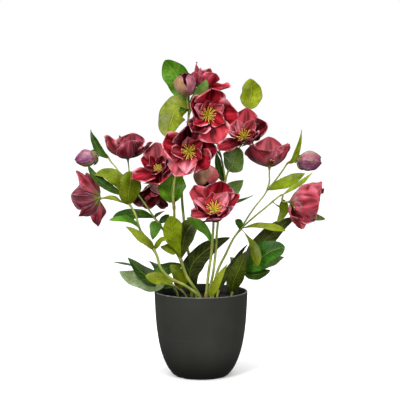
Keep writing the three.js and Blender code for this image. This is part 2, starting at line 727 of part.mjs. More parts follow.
leafyStem(
  "stem_front",
  [
    {
      rooted: true,
      points: [[7, -34, 110], [10, -36, 147], [14, -38, 175], [16, -42, 199], [17, -46, 218]],
      flower: "bloom_front_low",
    },
    {
      points: [
        [8, -34, 118], [15, -32, 140], [20, -32, 175], [22, -32, 205], [26, -27, 240],
        [34, -20, 278],
      ],
      thick: [1.9, 1.5],
    },
    { points: [[34, -20, 278], [29, -8, 305], [21, -2, 333], [14, -10, 355]], flower: "bloom_crown" },
    {
      points: [[34, -20, 278], [39, -14, 293], [49, 4, 313], [59, 10, 328]],
      flower: "bloom_right_high",
    },
    { points: [[28, -7, 312], [18, -14, 321], [8, -19, 318]], flower: "bud_hanging" },
    { points: [[59, 10, 333], [66, 14, 352], [68, 15, 377]], thick: [1.1, 0.9] },
  ],
  [
    [[68, 15, 376], [70, 16, 397], [69, 14, 419], 32, [0.2, -1, 0], { full: 0.6 }],
    [[38, -16, 290], [46, -12, 305], [51, -2, 323], 31, [0.1, -1, 0.3], { full: 0.6 }],
    [[33, -20, 274], [25, -10, 294], [22, -2, 316], 12, [-0.4, -1, 0], {}],
    [[28, -24, 252], [43, -14, 263], [59, -10, 277], 22, [0.1, -1, 0.1], {}],
    [[26, -26, 245], [48, -30, 248], [72, -30, 257], 6, [0, -1, 1], { full: 1 }],
    [[15, -37, 188], [3, -35, 212], [-20, -32, 226], 15, [0.4, -1, 0.5], { peak: 0.58, full: 0.8 }],
  ],
);

leafyStem(
  "stem_right",
  [
    {
      rooted: true,
      points: [[16, -10, 110], [23, -10, 148], [35, -8, 173], [46, -6, 195], [56, -5, 208]],
    },
    { points: [[56, -5, 208], [62, -3, 218], [75, 3, 237], [89, 8, 254], [94, 10, 262]] },
    { points: [[94, 10, 262], [97, 12, 274]], flower: "bloom_right_cup" },
    { points: [[94, 10, 262], [105, 10, 275], [117, 8, 292]], flower: "bud_right" },
    {
      points: [[56, -5, 208], [66, -9, 218], [88, -13, 237], [114, -15, 257]],
      flower: "bloom_far_right",
    },
  ],
  [
    [[60, -6, 203], [54, -8, 215], [48, -10, 221], 11, [0.2, -1, 0.4], { peak: 0.6, full: 0.6 }],
    [[56, -5, 208], [70, -18, 190], [80, -22, 157], 16, [0.5, -1, 0.3], { peak: 0.76, full: 0.85 }],
    [[56, -5, 208], [86, -12, 213], [118, -14, 206], 14, [0, -0.8, 0.8], { peak: 0.68, full: 0.7 }],
    [[110, -15, 250], [117, -6, 236], [107, -6, 217], 15, [-0.5, -1, 0.2], { full: 0.7 }],
    [[95, 10, 262], [123, 4, 274], [146, 0, 286], 20, [-0.3, -1, 0.7], {}],
    [[123, 6, 299], [134, 2, 313], [141, 0, 347], 9, [0.4, -1, 0], { full: 1 }],
    [[114, -15, 257], [136, -18, 272], [155, -18, 288], 8, [-0.3, -1, 0.6], { full: 1 }],
    [[100, -14, 247], [130, 36, 229], [179, 34, 218], 13, [0.2, -1, 0.4], { peak: 0.75, full: 0.6 }],
  ],
);

leafyStem(
  "stem_back",
  [
    {
      rooted: true,
      points: [
        [-13, 12, 110], [-16, 12, 145], [-17, 10, 168], [-20, 8, 182], [-25, 6, 227], [-27, 4, 255],
        [-26, 8, 290], [-21, 10, 333], [-17, 10, 369],
      ],
    },
    { points: [[-17, 10, 369], [-18, 6, 377]], flower: "bud_top" },
    { points: [[-17, 10, 369], [-8, 16, 386]], flower: "bloom_top_back" },
  ],
  [
    [[-20, 8, 378], [-31, 22, 413], [-51, 20, 445], 36, [-0.2, -1, 0.1], { peak: 0.62, full: 0.6 }],
    [[-19, 8, 376], [-39, 4, 370], [-45, -2, 336], 43, [-0.4, -1, 0.4], { peak: 0.52, full: 0.52 }],
    [[-17, 6, 374], [-24, -6, 376], [-31, -12, 372], 9, [0, -0.6, 1], {}],
    [[-15, 8, 375], [0, -8, 397], [7, -10, 417], 20, [-0.2, -1, 0], {}],
  ],
);

leafyStem(
  "leaf_centre",
  [
    { rooted: true, points: [[-7, 4, 110], [-9, 3, 122]], thick: [1.8, 1.4] },
  ],
  [
    [[-9, 3, 119], [-9, 4, 162], [41, 10, 194], 30, [0.2, -1, 0], { full: 0.7 }],
  ],
  DARK_GREEN,
);

leafyStem(
  "leaf_left",
  [
    { rooted: true, points: [[-21, 6, 110], [-35, 0, 125], [-55, -10, 131]], thick: [1.8, 1.4] },
  ],
  [
    [[-52, -8, 128], [-82, -16, 134], [-114, -22, 150], 30, [0, -0.9, 0.7], { full: 0.7 }],
    [[-40, -2, 120], [-72, -8, 140], [-103, -10, 168], 26, [0.2, -0.9, 0.7], {}],
    [[-52, -8, 128], [-52, -2, 150], [-20, 6, 154], 22, [0, -0.8, 0.8], {}],
    [[-34, -6, 120], [-30, -8, 140], [-44, -10, 158], 22, [0.3, -1, 0.2], { full: 0.65 }],
  ],
  DARK_GREEN,
);

leafyStem(
  "leaf_right",
  [
    { rooted: true, points: [[43, 6, 110], [50, 4, 128], [63, 4, 146]], thick: [1.8, 1.4] },
  ],
  [
    [[44, 5, 116], [50, -10, 145], [65, -14, 178], 23, [-0.2, -1, 0.1], { full: 0.65 }],
    [[63, 4, 146], [90, -4, 170], [118, -8, 183], 33, [0, -1, 0.6], { peak: 0.52, full: 0.55 }],
    [[63, 4, 146], [92, 9, 157], [118, 10, 166], 21, [0, -0.8, 0.8], {}],
    [[63, 4, 143], [79, 0, 142], [98, -2, 149], 18, [0, -0.9, 0.8], { full: 0.65 }],
    [[63, 4, 146], [90, 12, 190], [134, 16, 222], 27, [-0.2, -1, 0.4], { full: 0.7 }],
  ],
  DARK_GREEN,
);

leafyStem(
  "leaf_back_left",
  [
    { rooted: true, points: [[-34, 28, 110], [-42, 38, 122], [-52, 48, 134]], thick: [1.8, 1.4] },
  ],
  [
    [[-52, 48, 134], [-90, 44, 146], [-128, 34, 156], 17, [0, -0.1, 1], {}],
    [[-52, 48, 134], [-60, 78, 146], [-70, 104, 136], 30, [0, 0.3, 1], {}],
    [[-51, 47, 133], [-28, 70, 144], [-8, 92, 138], 26, [0.1, 0.3, 1], {}],
  ],
  DARK_GREEN,
);

leafyStem(
  "leaf_back_right",
  [
    { rooted: true, points: [[24, 28, 110], [34, 38, 126], [48, 50, 142]], thick: [1.8, 1.4] },
  ],
  [
    [[48, 50, 142], [76, 60, 158], [106, 62, 162], 26, [0.2, 0.2, 1], {}],
    [[48, 50, 142], [58, 78, 154], [64, 104, 146], 28, [0, 0.3, 1], {}],
    [[25, 29, 114], [44, 20, 152], [66, 10, 184], 11, [-0.6, -1, 0.5], {}],
  ],
  DARK_GREEN,
);

leafyStem(
  "leaf_front",
  [
    { rooted: true, points: [[13, -44, 110], [14, -45, 118]], thick: [1.6, 1.3] },
  ],
  [
    [[14, -45, 116], [20, -48, 136], [36, -50, 164], 12, [0, -1, 0.2], {}],
  ],
);

// ---- Pot and mix, drilled for the stems above ----
addNode("pot", solidOf(standUp(potShell())), POT_BLACK);
const drills = holes.map(([centre, radius]) => plainHole(centre, radius));
addNode("potting_mix", solidOf(standUp(mixFill())).subtract(fuse(drills)), MIX_BLACK);

export default plant;
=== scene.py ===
"""A hellebore in flower in a round matt black pot. Lengths in the lists below are millimetres and
become metres as each mesh is made. +Z is up, the pot's base is at the origin, flowers look to -Y."""

import math

import bpy
import numpy as np
from mathutils import Matrix, Vector, noise


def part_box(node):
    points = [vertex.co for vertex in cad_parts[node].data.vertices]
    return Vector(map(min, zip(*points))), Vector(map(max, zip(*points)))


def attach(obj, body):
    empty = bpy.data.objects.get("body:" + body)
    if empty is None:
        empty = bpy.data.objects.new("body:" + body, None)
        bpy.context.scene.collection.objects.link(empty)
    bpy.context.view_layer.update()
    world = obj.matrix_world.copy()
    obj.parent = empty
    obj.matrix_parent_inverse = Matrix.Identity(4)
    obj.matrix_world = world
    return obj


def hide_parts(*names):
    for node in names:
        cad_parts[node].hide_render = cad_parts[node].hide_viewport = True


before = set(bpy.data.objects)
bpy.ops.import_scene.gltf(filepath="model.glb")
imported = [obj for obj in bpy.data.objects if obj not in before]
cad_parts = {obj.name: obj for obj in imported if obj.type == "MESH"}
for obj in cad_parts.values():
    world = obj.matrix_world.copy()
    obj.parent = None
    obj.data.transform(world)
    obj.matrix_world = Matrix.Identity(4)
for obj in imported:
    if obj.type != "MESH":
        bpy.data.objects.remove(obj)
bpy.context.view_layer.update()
MM = 0.001

# ---- View ----
# A long lens a little above the middle of the plant, in a white room with a pale floor. Two broad
# lamps in front, the stronger on the left, and a small one high up light it softly.
TARGET = Vector((-1.4, 0, 248.4)) * MM
DISTANCE = 1600 * MM
PITCH = math.radians(4.4)
SENSOR = 36
FRAME_PIXELS = 400
FOCAL_PIXELS = 1136
WALL_LIGHT = 0.3
CEILING_LIGHT = 1.35
CEILING_SLOPE = (0.1, 0.7)  # the upward part of a direction where the walls end and the ceiling starts
FLOOR_RADIUS = 12

lens = bpy.data.cameras.new("camera")
lens.sensor_width = SENSOR
lens.lens = SENSOR * FOCAL_PIXELS / FRAME_PIXELS
lens.clip_end = 100
camera = bpy.data.objects.new("camera", lens)
camera.location = TARGET - DISTANCE * Vector((0, math.cos(PITCH), -math.sin(PITCH)))
camera.rotation_euler = (math.pi / 2 - PITCH, 0, 0)
bpy.context.scene.collection.objects.link(camera)
bpy.context.scene.camera = camera
bpy.context.scene.view_settings.view_transform = "Standard"


def softbox(name, place, size, watts):
    data = bpy.data.lights.new(name, "AREA")
    data.shape = "DISK"
    data.size = size
    data.energy = watts
    lamp = bpy.data.objects.new(name, data)
    lamp.location = place
    lamp.rotation_euler = (TARGET - lamp.location).to_track_quat("-Z", "Y").to_euler()
    bpy.context.scene.collection.objects.link(lamp)


softbox("left_lamp", Vector((-1.05, -1.8, 1.2)), 0.8, 39)
softbox("right_lamp", Vector((1.2, -1.75, 0.9)), 0.8, 22)
softbox("high_lamp", Vector((-0.3, -0.5, 1.9)), 0.6, 12)


def white_room():
    """Light that falls mostly from above, from walls that look white."""
    room = bpy.data.worlds.new("white_room")
    room.use_nodes = True
    tree = room.node_tree
    sky = tree.nodes["Background"]
    direction = tree.nodes.new("ShaderNodeTexCoord").outputs["Generated"]
    split = tree.nodes.new("ShaderNodeSeparateXYZ")
    height = tree.nodes.new("ShaderNodeMapRange")
    height.interpolation_type = "SMOOTHSTEP"
    seen = tree.nodes.new("ShaderNodeLightPath").outputs["Is Camera Ray"]
    strength = tree.nodes.new("ShaderNodeMix")
    tree.links.new(direction, split.inputs[0])
    tree.links.new(split.outputs[2], height.inputs["Value"])
    for socket, value in zip(list(height.inputs)[1:5], (*CEILING_SLOPE, WALL_LIGHT, CEILING_LIGHT)):
        socket.default_value = value
    tree.links.new(seen, strength.inputs[0])
    tree.links.new(height.outputs[0], strength.inputs[2])
    strength.inputs[3].default_value = 1.0
    tree.links.new(strength.outputs[0], sky.inputs["Strength"])
    sky.inputs["Color"].default_value = (1, 1, 1, 1)
    bpy.context.scene.world = room


white_room()


class Finish:
    """A node material being put together: each call adds one node and gives back its output."""

    def __init__(self, name, **fixed):
        self.material = bpy.data.materials.new(name)
        self.material.use_nodes = True
        self.tree = self.material.node_tree
        self.surface = self.tree.nodes["Principled BSDF"]
        for socket, value in fixed.items():
            self.surface.inputs[socket.replace("_", " ")].default_value = value

    def join(self, target, value):
        if isinstance(value, bpy.types.NodeSocket):
            self.tree.links.new(value, target)
        else:
            target.default_value = value

    def node(self, kind, output=0, settings=(), **inputs):
        made = self.tree.nodes.new("ShaderNode" + kind)
        for key, value in dict(settings).items():
            setattr(made, key, value)
        for key, value in inputs.items():
            self.join(made.inputs[key.replace("_", " ")], value)
        return made.outputs[output]

    def math(self, operation, *values, clamp=False):
        made = self.tree.nodes.new("ShaderNodeMath")
        made.operation = operation
        made.use_clamp = clamp
        for socket, value in zip(made.inputs, values):
            self.join(socket, value)
        return made.outputs[0]

    def times(self, *values, clamp=False):
        return self.math("MULTIPLY", *values, clamp=clamp)

    def mix(self, share, first, second, blend="MIX"):
        made = self.tree.nodes.new("ShaderNodeMix")
        made.data_type = "RGBA"
        made.blend_type = blend
        sockets = made.inputs[0], made.inputs[6], made.inputs[7]
        for socket, value in zip(sockets, (share, first, second)):
            self.join(socket, value)
        return made.outputs[2]

    def deepen(self, colour, by):
        return self.mix(1.0, colour, by, "MULTIPLY")

    def place(self):
        """Where a point is on the piece."""
        return self.node("TexCoord", "Object")

    def mark(self, name, output="Fac"):
        """What the piece's points carry under this name."""
        return self.node("Attribute", output, {"attribute_name": name})

    def fade(self, value, low, high, start=0.0, end=1.0):
        """start below low, end above high, and a smooth change between."""
        return self.node("MapRange", settings={"interpolation_type": "SMOOTHSTEP"}, Value=value,
                         From_Min=low, From_Max=high, To_Min=start, To_Max=end)

    def noise(self, place, scale, detail=3.0, roughness=0.5):
        return self.node("TexNoise", Vector=place, Scale=scale, Detail=detail, Roughness=roughness)

    def stretch(self, place, scale):
        return self.node("Mapping", Vector=place, Scale=scale)

    def bump(self, height, strength, distance):
        return self.node("Bump", Height=height, Strength=strength, Distance=distance)

    def done(self, **outputs):
        for socket, value in outputs.items():
            self.join(self.surface.inputs[socket.replace("_", " ")], value)
        return self.material


def tint(code):
    """A paint-chart colour such as "7f9a2e" as linear light."""
    parts = [int(code[i:i + 2], 16) / 255 for i in (0, 2, 4)]
    return tuple(c / 12.92 if c <= 0.04045 else ((c + 0.055) / 1.055) ** 2.4 for c in parts) + (1.0,)


def floor_finish():
    paint = Finish("white_floor", Specular_IOR_Level=0.2)
    place = paint.place()
    cloudy = paint.noise(place, 1.5)
    colour = paint.mix(cloudy, tint("fafafa"), tint("fefefd"))
    return paint.done(Base_Color=colour, Roughness=paint.fade(cloudy, 0, 1, 0.7, 0.8))


bpy.ops.mesh.primitive_circle_add(vertices=96, radius=FLOOR_RADIUS, fill_type="NGON")
floor = bpy.context.object
floor.name = "floor"
floor.data.materials.append(floor_finish())
floor.visible_diffuse = False  # the floor throws no light up under the leaves
floor.visible_glossy = False

# ---- Pot ----
# A thin-walled round pot of black plastic, moulded with a matt skin and a rounded lip. It stands
# on its foot, and its wall is the CAD shell's made smooth.
POT_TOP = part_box("pot")[1].z / MM
RIM_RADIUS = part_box("pot")[1].x / MM
FOOT_RADIUS = 36
FLARE = 0.15  # how much of its spread the wall gains evenly, as a cone does
WALL = 2.6
FLOOR_THICK = 4
BELLY_ROUND = 3.2
BELLY_LIFT = 0.68
FOOT_ROUND = 1.6
FOOT_LIFT = 0.9  # the middle of the base is raised this far inside the ring it stands on
RING_EDGES = (4.6, 6)  # how far in from the foot the ring's flat and its slope end
LIP_ROUND = 1.3
LIP_DEPTH = 1.6
LIP_HIGHLIGHT_DEPTHS = (1.4, 0.4)  # the painted highlight starts this far under the lip and is full from this far under it
INSIDE_TOP = 4  # how far under the lip the inside wall starts
INSIDE_FROM = 0.69  # how far along the wall's section the inside starts
POT_SIDES = 144
POT_BLACK = tint("2e2f2b")
POT_CLOUD = tint("363732")
POT_WORN = tint("3a3b36")
POT_PAINTED_SHADE = tint("080807")
POT_INSIDE_SHADE = tint("0c0c0b")
LIP_HIGHLIGHT_TINT = tint("72736d")

FLAT = "across_and_along"  # the name of every piece's UV map


class Skin:
    """The mesh of one piece as it grows: points in millimetres, faces, a UV and shading marks."""

    def __init__(self, **marks):
        self.points, self.faces, self.uv, self.slots, self.count = [], [], [], [], 0
        self.marks = {name: [] for name in marks}
        self.kinds = marks

    def add(self, points, faces, uv, slot=0, **values):
        points = np.asarray(points, float).reshape(-1, 3)
        self.points.append(points)
        self.faces += [tuple(int(k) + self.count for k in face) for face in faces]
        self.slots += [slot] * len(faces)
        self.uv.append(np.asarray(uv, float).reshape(-1, 2))
        for name, marks in self.marks.items():
            plain = self.kinds[name] == "FLOAT"
            value = np.asarray(values.get(name, 0.0 if plain else (0, 0, 0, 1)), float)
            shape = (len(points),) if plain else (len(points), 4)
            marks.append(np.broadcast_to(value.reshape(-1) if plain else value, shape))
        self.count += len(points)

    def piece(self, name, *materials):
        mesh = bpy.data.meshes.new(name)
        mesh.from_pydata(np.concatenate(self.points) * MM, [], self.faces)
        for material in materials:
            mesh.materials.append(material)
        mesh.polygons.foreach_set("material_index", self.slots)
        mesh.polygons.foreach_set("use_smooth", [True] * len(mesh.polygons))
        corners = np.zeros(len(mesh.loops), int)
        mesh.loops.foreach_get("vertex_index", corners)
        layer = mesh.uv_layers.new(name=FLAT)
        layer.data.foreach_set("uv", np.concatenate(self.uv)[corners].ravel())
        for mark, values in self.marks.items():
            kind = self.kinds[mark]
            attribute = mesh.attributes.new(mark, kind, "POINT")
            field = "value" if kind == "FLOAT" else "color"
            attribute.data.foreach_set(field, np.concatenate(values).ravel())
        mesh.update()
        made = bpy.data.objects.new(name, mesh)
        bpy.context.scene.collection.objects.link(made)
        return made


def wrap(skin, rings, first, last, up, slot=0, **marks):
    """Joins rings of points into one closed surface, with the points first and last at its ends."""
    rows, sides = rings.shape[:2]
    points = np.vstack([[first], rings.reshape(-1, 3), [last]])

    def at(i, j):
        return 1 + i * sides + j % sides

    faces = [(0, at(0, j + 1), at(0, j)) for j in range(sides)]
    faces += [(at(i, j), at(i, j + 1), at(i + 1, j + 1), at(i + 1, j))
              for i in range(rows - 1) for j in range(sides)]
    faces += [(len(points) - 1, at(rows - 1, j), at(rows - 1, j + 1)) for j in range(sides)]
    across = np.tile(np.arange(sides) / sides, rows)
    uv = np.concatenate([[(0, 0)], np.stack([across, np.repeat(up, sides)], 1), [(0, 1)]])
    skin.add(points, faces, uv, slot, **marks)


def turned(skin, profile, sides, relief=None):
    """A closed shape turned about Z from a profile of (radius, height) that starts and ends on it."""
    angles = 2 * np.pi * np.arange(sides) / sides
    inner = np.array(profile[1:-1], float)
    ring = np.stack([np.outer(inner[:, 0], np.cos(angles)), np.outer(inner[:, 0], np.sin(angles)),
                     np.repeat(inner[:, 1:2], sides, 1)], 2)
    if relief:
        ring = relief(ring)
    rows = len(inner)
    wrap(skin, ring, (0, 0, profile[0][1]), (0, 0, profile[-1][1]), np.arange(rows) / rows)


def pot_radius(z):
    """The outside radius of the wall at height z: a cone with a round belly."""
    up = np.clip(z / POT_TOP, 0, 1)
    belly = (1 - (1 - up) ** BELLY_ROUND) ** BELLY_LIFT
    return FOOT_RADIUS + (RIM_RADIUS - FOOT_RADIUS) * ((1 - FLARE) * belly + FLARE * up)


def pot_profile():
    heights = np.linspace(0, 1, 40)[1:] ** 1.7 * (POT_TOP - LIP_DEPTH)  # closer together low down
    outside = [(pot_radius(z + 0.6), z) for z in heights]
    foot = [(0, FOOT_LIFT), (FOOT_RADIUS - RING_EDGES[1], FOOT_LIFT), (FOOT_RADIUS - RING_EDGES[0], 0)]
    foot += [(outside[0][0] - FOOT_ROUND, 0), (outside[0][0] - 0.4, 0.12)]
    lip = [(RIM_RADIUS - WALL / 2 + WALL / 2 * math.cos(a), POT_TOP - LIP_ROUND + LIP_ROUND * math.sin(a))
           for a in np.linspace(0, math.pi, 9)]
    heights = np.linspace(1, 0, 24)[1:] * (POT_TOP - INSIDE_TOP - FLOOR_THICK) + FLOOR_THICK
    inside = [(pot_radius(z) - WALL, z) for z in heights]
    return foot + outside + lip + inside + [(0, FLOOR_THICK)]


def flat_pattern(skin):
    """A piece laid flat: X round it or across it, Y along it, both from 0 to 1."""
    return skin.node("UVMap", settings={"uv_map": FLAT})


def across_and_along(skin):
    """Across a piece from -1 to 1, and along it from 0 to 1."""
    across = skin.node("SeparateXYZ", 0, Vector=flat_pattern(skin))
    return skin.math("MULTIPLY_ADD", across, 2.0, -1.0), across.node.outputs[1]


def pot_finish():
    skin = Finish("matt_black_plastic", Specular_IOR_Level=0.05)
    place = skin.place()
    height = skin.node("SeparateXYZ", 2, Vector=place)
    cloudy = skin.noise(place, 14, 4)
    brushed = skin.noise(skin.stretch(place, (1, 1, 30)), 9, 4, 0.65)
    grain = skin.noise(place, 2600, 2)
    section = across_and_along(skin)[1]  # 0 under the foot, 1 in the middle of the floor inside
    colour = skin.mix(skin.fade(cloudy, 0.3, 0.75), POT_BLACK, POT_CLOUD)
    colour = skin.mix(skin.fade(brushed, 0.5, 0.8, 0, 0.25), colour, POT_WORN)
    # A patchy painted highlight along the top of the lip, lighter than the wall.
    lip = skin.fade(height, *((POT_TOP - depth) * MM for depth in LIP_HIGHLIGHT_DEPTHS))
    lip_highlight = skin.times(lip, skin.fade(skin.noise(place, 220, 5, 0.7), 0.4, 0.65, 0.3, 1.0))
    # Painted shade: the wall darkens towards its foot.
    colour = skin.mix(skin.fade(height, 0, 0.05, 0.75, 0), colour, POT_PAINTED_SHADE)
    # Painted shade: the inside of the pot is darkened to near black.
    colour = skin.mix(skin.fade(section, INSIDE_FROM, INSIDE_FROM + 0.02), colour, POT_INSIDE_SHADE)
    colour = skin.mix(lip_highlight, colour, LIP_HIGHLIGHT_TINT)
    rough = skin.math("ADD", skin.fade(cloudy, 0.2, 0.8, 0.5, 0.6), skin.fade(grain, 0, 1, -0.05, 0.07))
    relief = skin.math("ADD", skin.times(grain, 0.7), skin.times(brushed, 0.5))
    return skin.done(Base_Color=colour, Roughness=rough, Normal=skin.bump(relief, 0.25, 0.00015))


pot_skin = Skin()
turned(pot_skin, pot_profile(), POT_SIDES)
pot = pot_skin.piece("round_pot", pot_finish())
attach(pot, "root")
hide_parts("pot")

# ---- Potting mix ----
# Dark peat with bark crumbs, filled to 14 mm under the lip. A turned body carries an uneven top,
# and loose crumbs are scattered on it by a Geometry Nodes tree.
MIX_TOP = 106
MIX_FOOT = 8
MIX_GAP = 0.5
MIX_SIDES = 128
FIT_GAP = 0.3
CRUMB_COUNT = 1500
CRUMB_SIZE = 1.5
CRUMB_AREA = math.pi * 0.06 ** 2  # the open top of the mix, in square metres


def mix_profile():
    wall = [(pot_radius(z) - WALL - MIX_GAP, z) for z in np.linspace(MIX_FOOT, MIX_TOP, 24)]
    top = [(r, MIX_TOP) for r in np.linspace(wall[-1][0] - 1, 1.5, 40)]
    base = [(0, FLOOR_THICK + FIT_GAP), (wall[0][0] - 4, FLOOR_THICK + FIT_GAP)]
    return base + wall + top + [(0, MIX_TOP)]


def uneven(ring):
    """Raises and lowers the top of the mix as loose soil lies."""
    high = ring[:, :, 2] > MIX_TOP - 0.01
    for i, j in zip(*np.nonzero(high)):
        x, y = ring[i, j, :2]
        broad = 0.35 * math.sin(0.23 * x + 1) * math.cos(0.19 * y) + 0.3 * math.sin(0.11 * x - 0.17 * y)
        ring[i, j, 2] += broad + 0.9 * noise.fractal(Vector((x, y, 0)) * 0.16, 0.9, 2.1, 4)
    return ring


def mix_finish():
    soil = Finish("dark_peat", Specular_IOR_Level=0.25)
    place = soil.place()
    fine = soil.noise(place, 900, 6, 0.7)
    clods = soil.noise(place, 160, 4)
    colour = soil.mix(soil.fade(fine, 0.35, 0.7), tint("0d0a08"), tint("2c221a"))
    colour = soil.mix(soil.fade(clods, 0.52, 0.72, 0, 0.7), colour, tint("3b2c1f"))
    relief = soil.math("ADD", fine, clods)
    return soil.done(Base_Color=colour, Roughness=soil.fade(clods, 0.3, 0.7, 0.8, 0.98),
                     Normal=soil.bump(relief, 0.8, 0.0008))


class Growth:
    """A Geometry Nodes tree with named inputs, run once on a mesh to give a plain piece."""

    def __init__(self, name, **inputs):
        self.tree = bpy.data.node_groups.new(name, "GeometryNodeTree")
        self.tree.interface.new_socket("Geometry", in_out="INPUT", socket_type="NodeSocketGeometry")
        self.tree.interface.new_socket("Geometry", in_out="OUTPUT", socket_type="NodeSocketGeometry")
        self.names = {}
        for key, kind in inputs.items():
            socket = self.tree.interface.new_socket(key, in_out="INPUT", socket_type="NodeSocket" + kind)
            self.names[key] = socket.identifier
        self.given = self.tree.nodes.new("NodeGroupInput")

    def value(self, name):
        return self.given.outputs[name]

    def node(self, kind, output=0, settings=(), **inputs):
        made = self.tree.nodes.new(kind)
        for key, value in dict(settings).items():
            setattr(made, key, value)
        for key, value in inputs.items():
            target = made.inputs[int(key[1:])] if key[1:].isdigit() else made.inputs[key.replace("_", " ")]
            if isinstance(value, bpy.types.NodeSocket):
                self.tree.links.new(value, target)
            else:
                target.default_value = value
        return made.outputs[output]

    def math(self, operation, *values):
        return self.node("ShaderNodeMath", settings={"operation": operation},
                         **{f"_{i}": value for i, value in enumerate(values)})

    def times(self, first, second):
        return self.math("MULTIPLY", first, second)

    def triple(self, x, y, z):
        return self.node("ShaderNodeCombineXYZ", X=x, Y=y, Z=z)

    def random_triple(self, low, high):
        return self.node("FunctionNodeRandomValue", settings={"data_type": "FLOAT_VECTOR"},
                         Min=low, Max=high, Seed=self.value("Seed"))

    def scaled(self, triple, by):
        return self.node("ShaderNodeVectorMath", settings={"operation": "SCALE"}, _0=triple, Scale=by)

    def finish(self, geometry, material):
        real = self.node("GeometryNodeRealizeInstances", Geometry=geometry)
        painted = self.node("GeometryNodeSetMaterial", Geometry=real, Material=material)
        self.tree.links.new(painted, self.tree.nodes.new("NodeGroupOutput").inputs["Geometry"])

    def grow(self, name, seedbed, **values):
        """Runs the tree on seedbed with these inputs and leaves a plain mesh piece."""
        host = bpy.data.objects.new(name, seedbed)
        bpy.context.scene.collection.objects.link(host)
        modifier = host.modifiers.new("growth", "NODES")
        modifier.node_group = self.tree
        for key, value in values.items():
            modifier[self.names[key]] = value
        bpy.context.view_layer.update()
        evaluated = host.evaluated_get(bpy.context.evaluated_depsgraph_get())
        mesh = bpy.data.meshes.new_from_object(evaluated)
        host.modifiers.clear()
        host.data = mesh
        return host


def crumb_tree(material):
    soil = Growth("scattered_crumbs", Count="Int", Size="Float", Seed="Int")
    up = soil.node("ShaderNodeSeparateXYZ", 2, Vector=soil.node("GeometryNodeInputNormal"))
    level = soil.node("FunctionNodeCompare", settings={"data_type": "FLOAT", "operation": "GREATER_THAN"},
                      A=up, B=0.5)
    spots = soil.node("GeometryNodeDistributePointsOnFaces", Mesh=soil.value("Geometry"), Selection=level,
                      Density=soil.math("DIVIDE", soil.value("Count"), CRUMB_AREA), Seed=soil.value("Seed"))
    grain = soil.node("GeometryNodeMeshIcoSphere", Radius=1.0, Subdivisions=2)
    turn = soil.random_triple((0, 0, 0), (6.3, 6.3, 6.3))
    size = soil.scaled(soil.random_triple((0.3, 0.3, 0.2), (1.2, 0.9, 0.6)), soil.value("Size"))
    crumbs = soil.node("GeometryNodeInstanceOnPoints", Points=spots, Instance=grain,
                       Rotation=soil.node("FunctionNodeEulerToRotation", Euler=turn), Scale=size)
    real = soil.node("GeometryNodeRealizeInstances", Geometry=crumbs)
    rough = soil.node("ShaderNodeTexNoise", 1, Scale=900.0, Detail=2.0)
    push = soil.node("ShaderNodeVectorMath", settings={"operation": "SUBTRACT"}, _0=rough,
                     _1=(0.5, 0.5, 0.5))
    push = soil.scaled(push, soil.value("Size"))
    soil.finish(soil.node("GeometryNodeSetPosition", Geometry=real, Offset=push), material)
    return soil


mix_skin = Skin()
turned(mix_skin, mix_profile(), MIX_SIDES, uneven)
peat = mix_finish()
mix = mix_skin.piece("peat_fill", peat)
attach(mix, "root")
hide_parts("potting_mix")

crumbs = crumb_tree(peat).grow("peat_crumbs", mix.data.copy(), Count=CRUMB_COUNT,
                               Size=CRUMB_SIZE * MM, Seed=5)
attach(crumbs, "root")
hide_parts("potting_mix")

# ---- Leafy stems and ground leaves ----
# Green stems that branch, each fork and leaf on a small swelling, with thin folded leaves that
# have a raised midrib. Every stem stands in the mix, and its stalks end under the flowers.
HOLE_DEPTH = 10
APPROACH = 11  # a flower stalk runs straight for this far under its flower
RECEPTACLE_RADIUS = 2.4
RECEPTACLE_LENGTH = 5
MAIN_RADIUS = (2.3, 1.5)
TWIG_RADIUS = (1.3, 1.0)
STALK_SIDES = 12
STALK_STEP = 2.5
KNUCKLE_REACH = 3  # a fork or a leaf's foot swells the stalk for about this far
KNUCKLE_SWELL = 0.35
LEAF_THICK = 0.7
LEAF_EDGE = 0.3
LEAF_FOLD = 0.22
LEAF_WAVE = 0.09
VEIN_STEP = 7

# Leaf colours: young, full-grown, old and in shade.
FRESH = tint("788a0c")
LIME = tint("788316")
YOUNG = tint("8f9b1a")
MOSS = tint("667308")
GRASS = tint("507d0c")
LEAF = tint("447612")
IVY = tint("31660e")
SAGE = tint("587232")
DEEP = tint("2a4c12")
GREY = tint("889a74")
OLIVE = tint("3f4a12")
BRONZE = tint("2c3612")

# Where each flower or bud sits on its stalk, and the way it looks.
HEADS = {
    "bloom_crown": ((9, -60, 368), (0.05, -1, 0.1)),
    "bloom_heart": ((-16, -42, 318), (-0.04, -1, 0.1)),
    "bloom_right_high": ((61, -4, 334), (-0.15, -0.75, 0.7)),
    "bloom_front_low": ((17, -66, 238), (0.02, -0.78, 0.62)),
    "bloom_left_mid": ((-59, -12, 292), (-0.2, -0.85, 0.48)),
    "bloom_left_cup": ((-105, 34, 305), (-0.1, -0.2, 0.97)),
    "bloom_right_cup": ((97, 14, 294), (0, -0.1, 1)),
    "bloom_far_left": ((-142, -4, 251), (-0.85, 0.5, -0.05)),
    "bloom_far_right": ((124, -16, 247), (0.94, -0.22, -0.06)),
    "bloom_top_back": ((-2, 24, 405), (0.25, 0.1, 0.95)),
    "bloom_nodding": ((-68, 42, 269), (-0.03, -0.47, -0.87)),
    "bud_top": ((-20, 0, 394), (-0.1, -0.25, 0.95)),
    "bud_hanging": ((5, -22, 300), (0.05, -0.25, -0.95)),
    "bud_left": ((-145, 0, 311), (-0.96, -0.15, -0.22)),
    "bud_right": ((135, 6, 302), (0.98, -0.12, 0.05)),
}


def unit(v):
    return v / np.linalg.norm(v, axis=-1, keepdims=True)


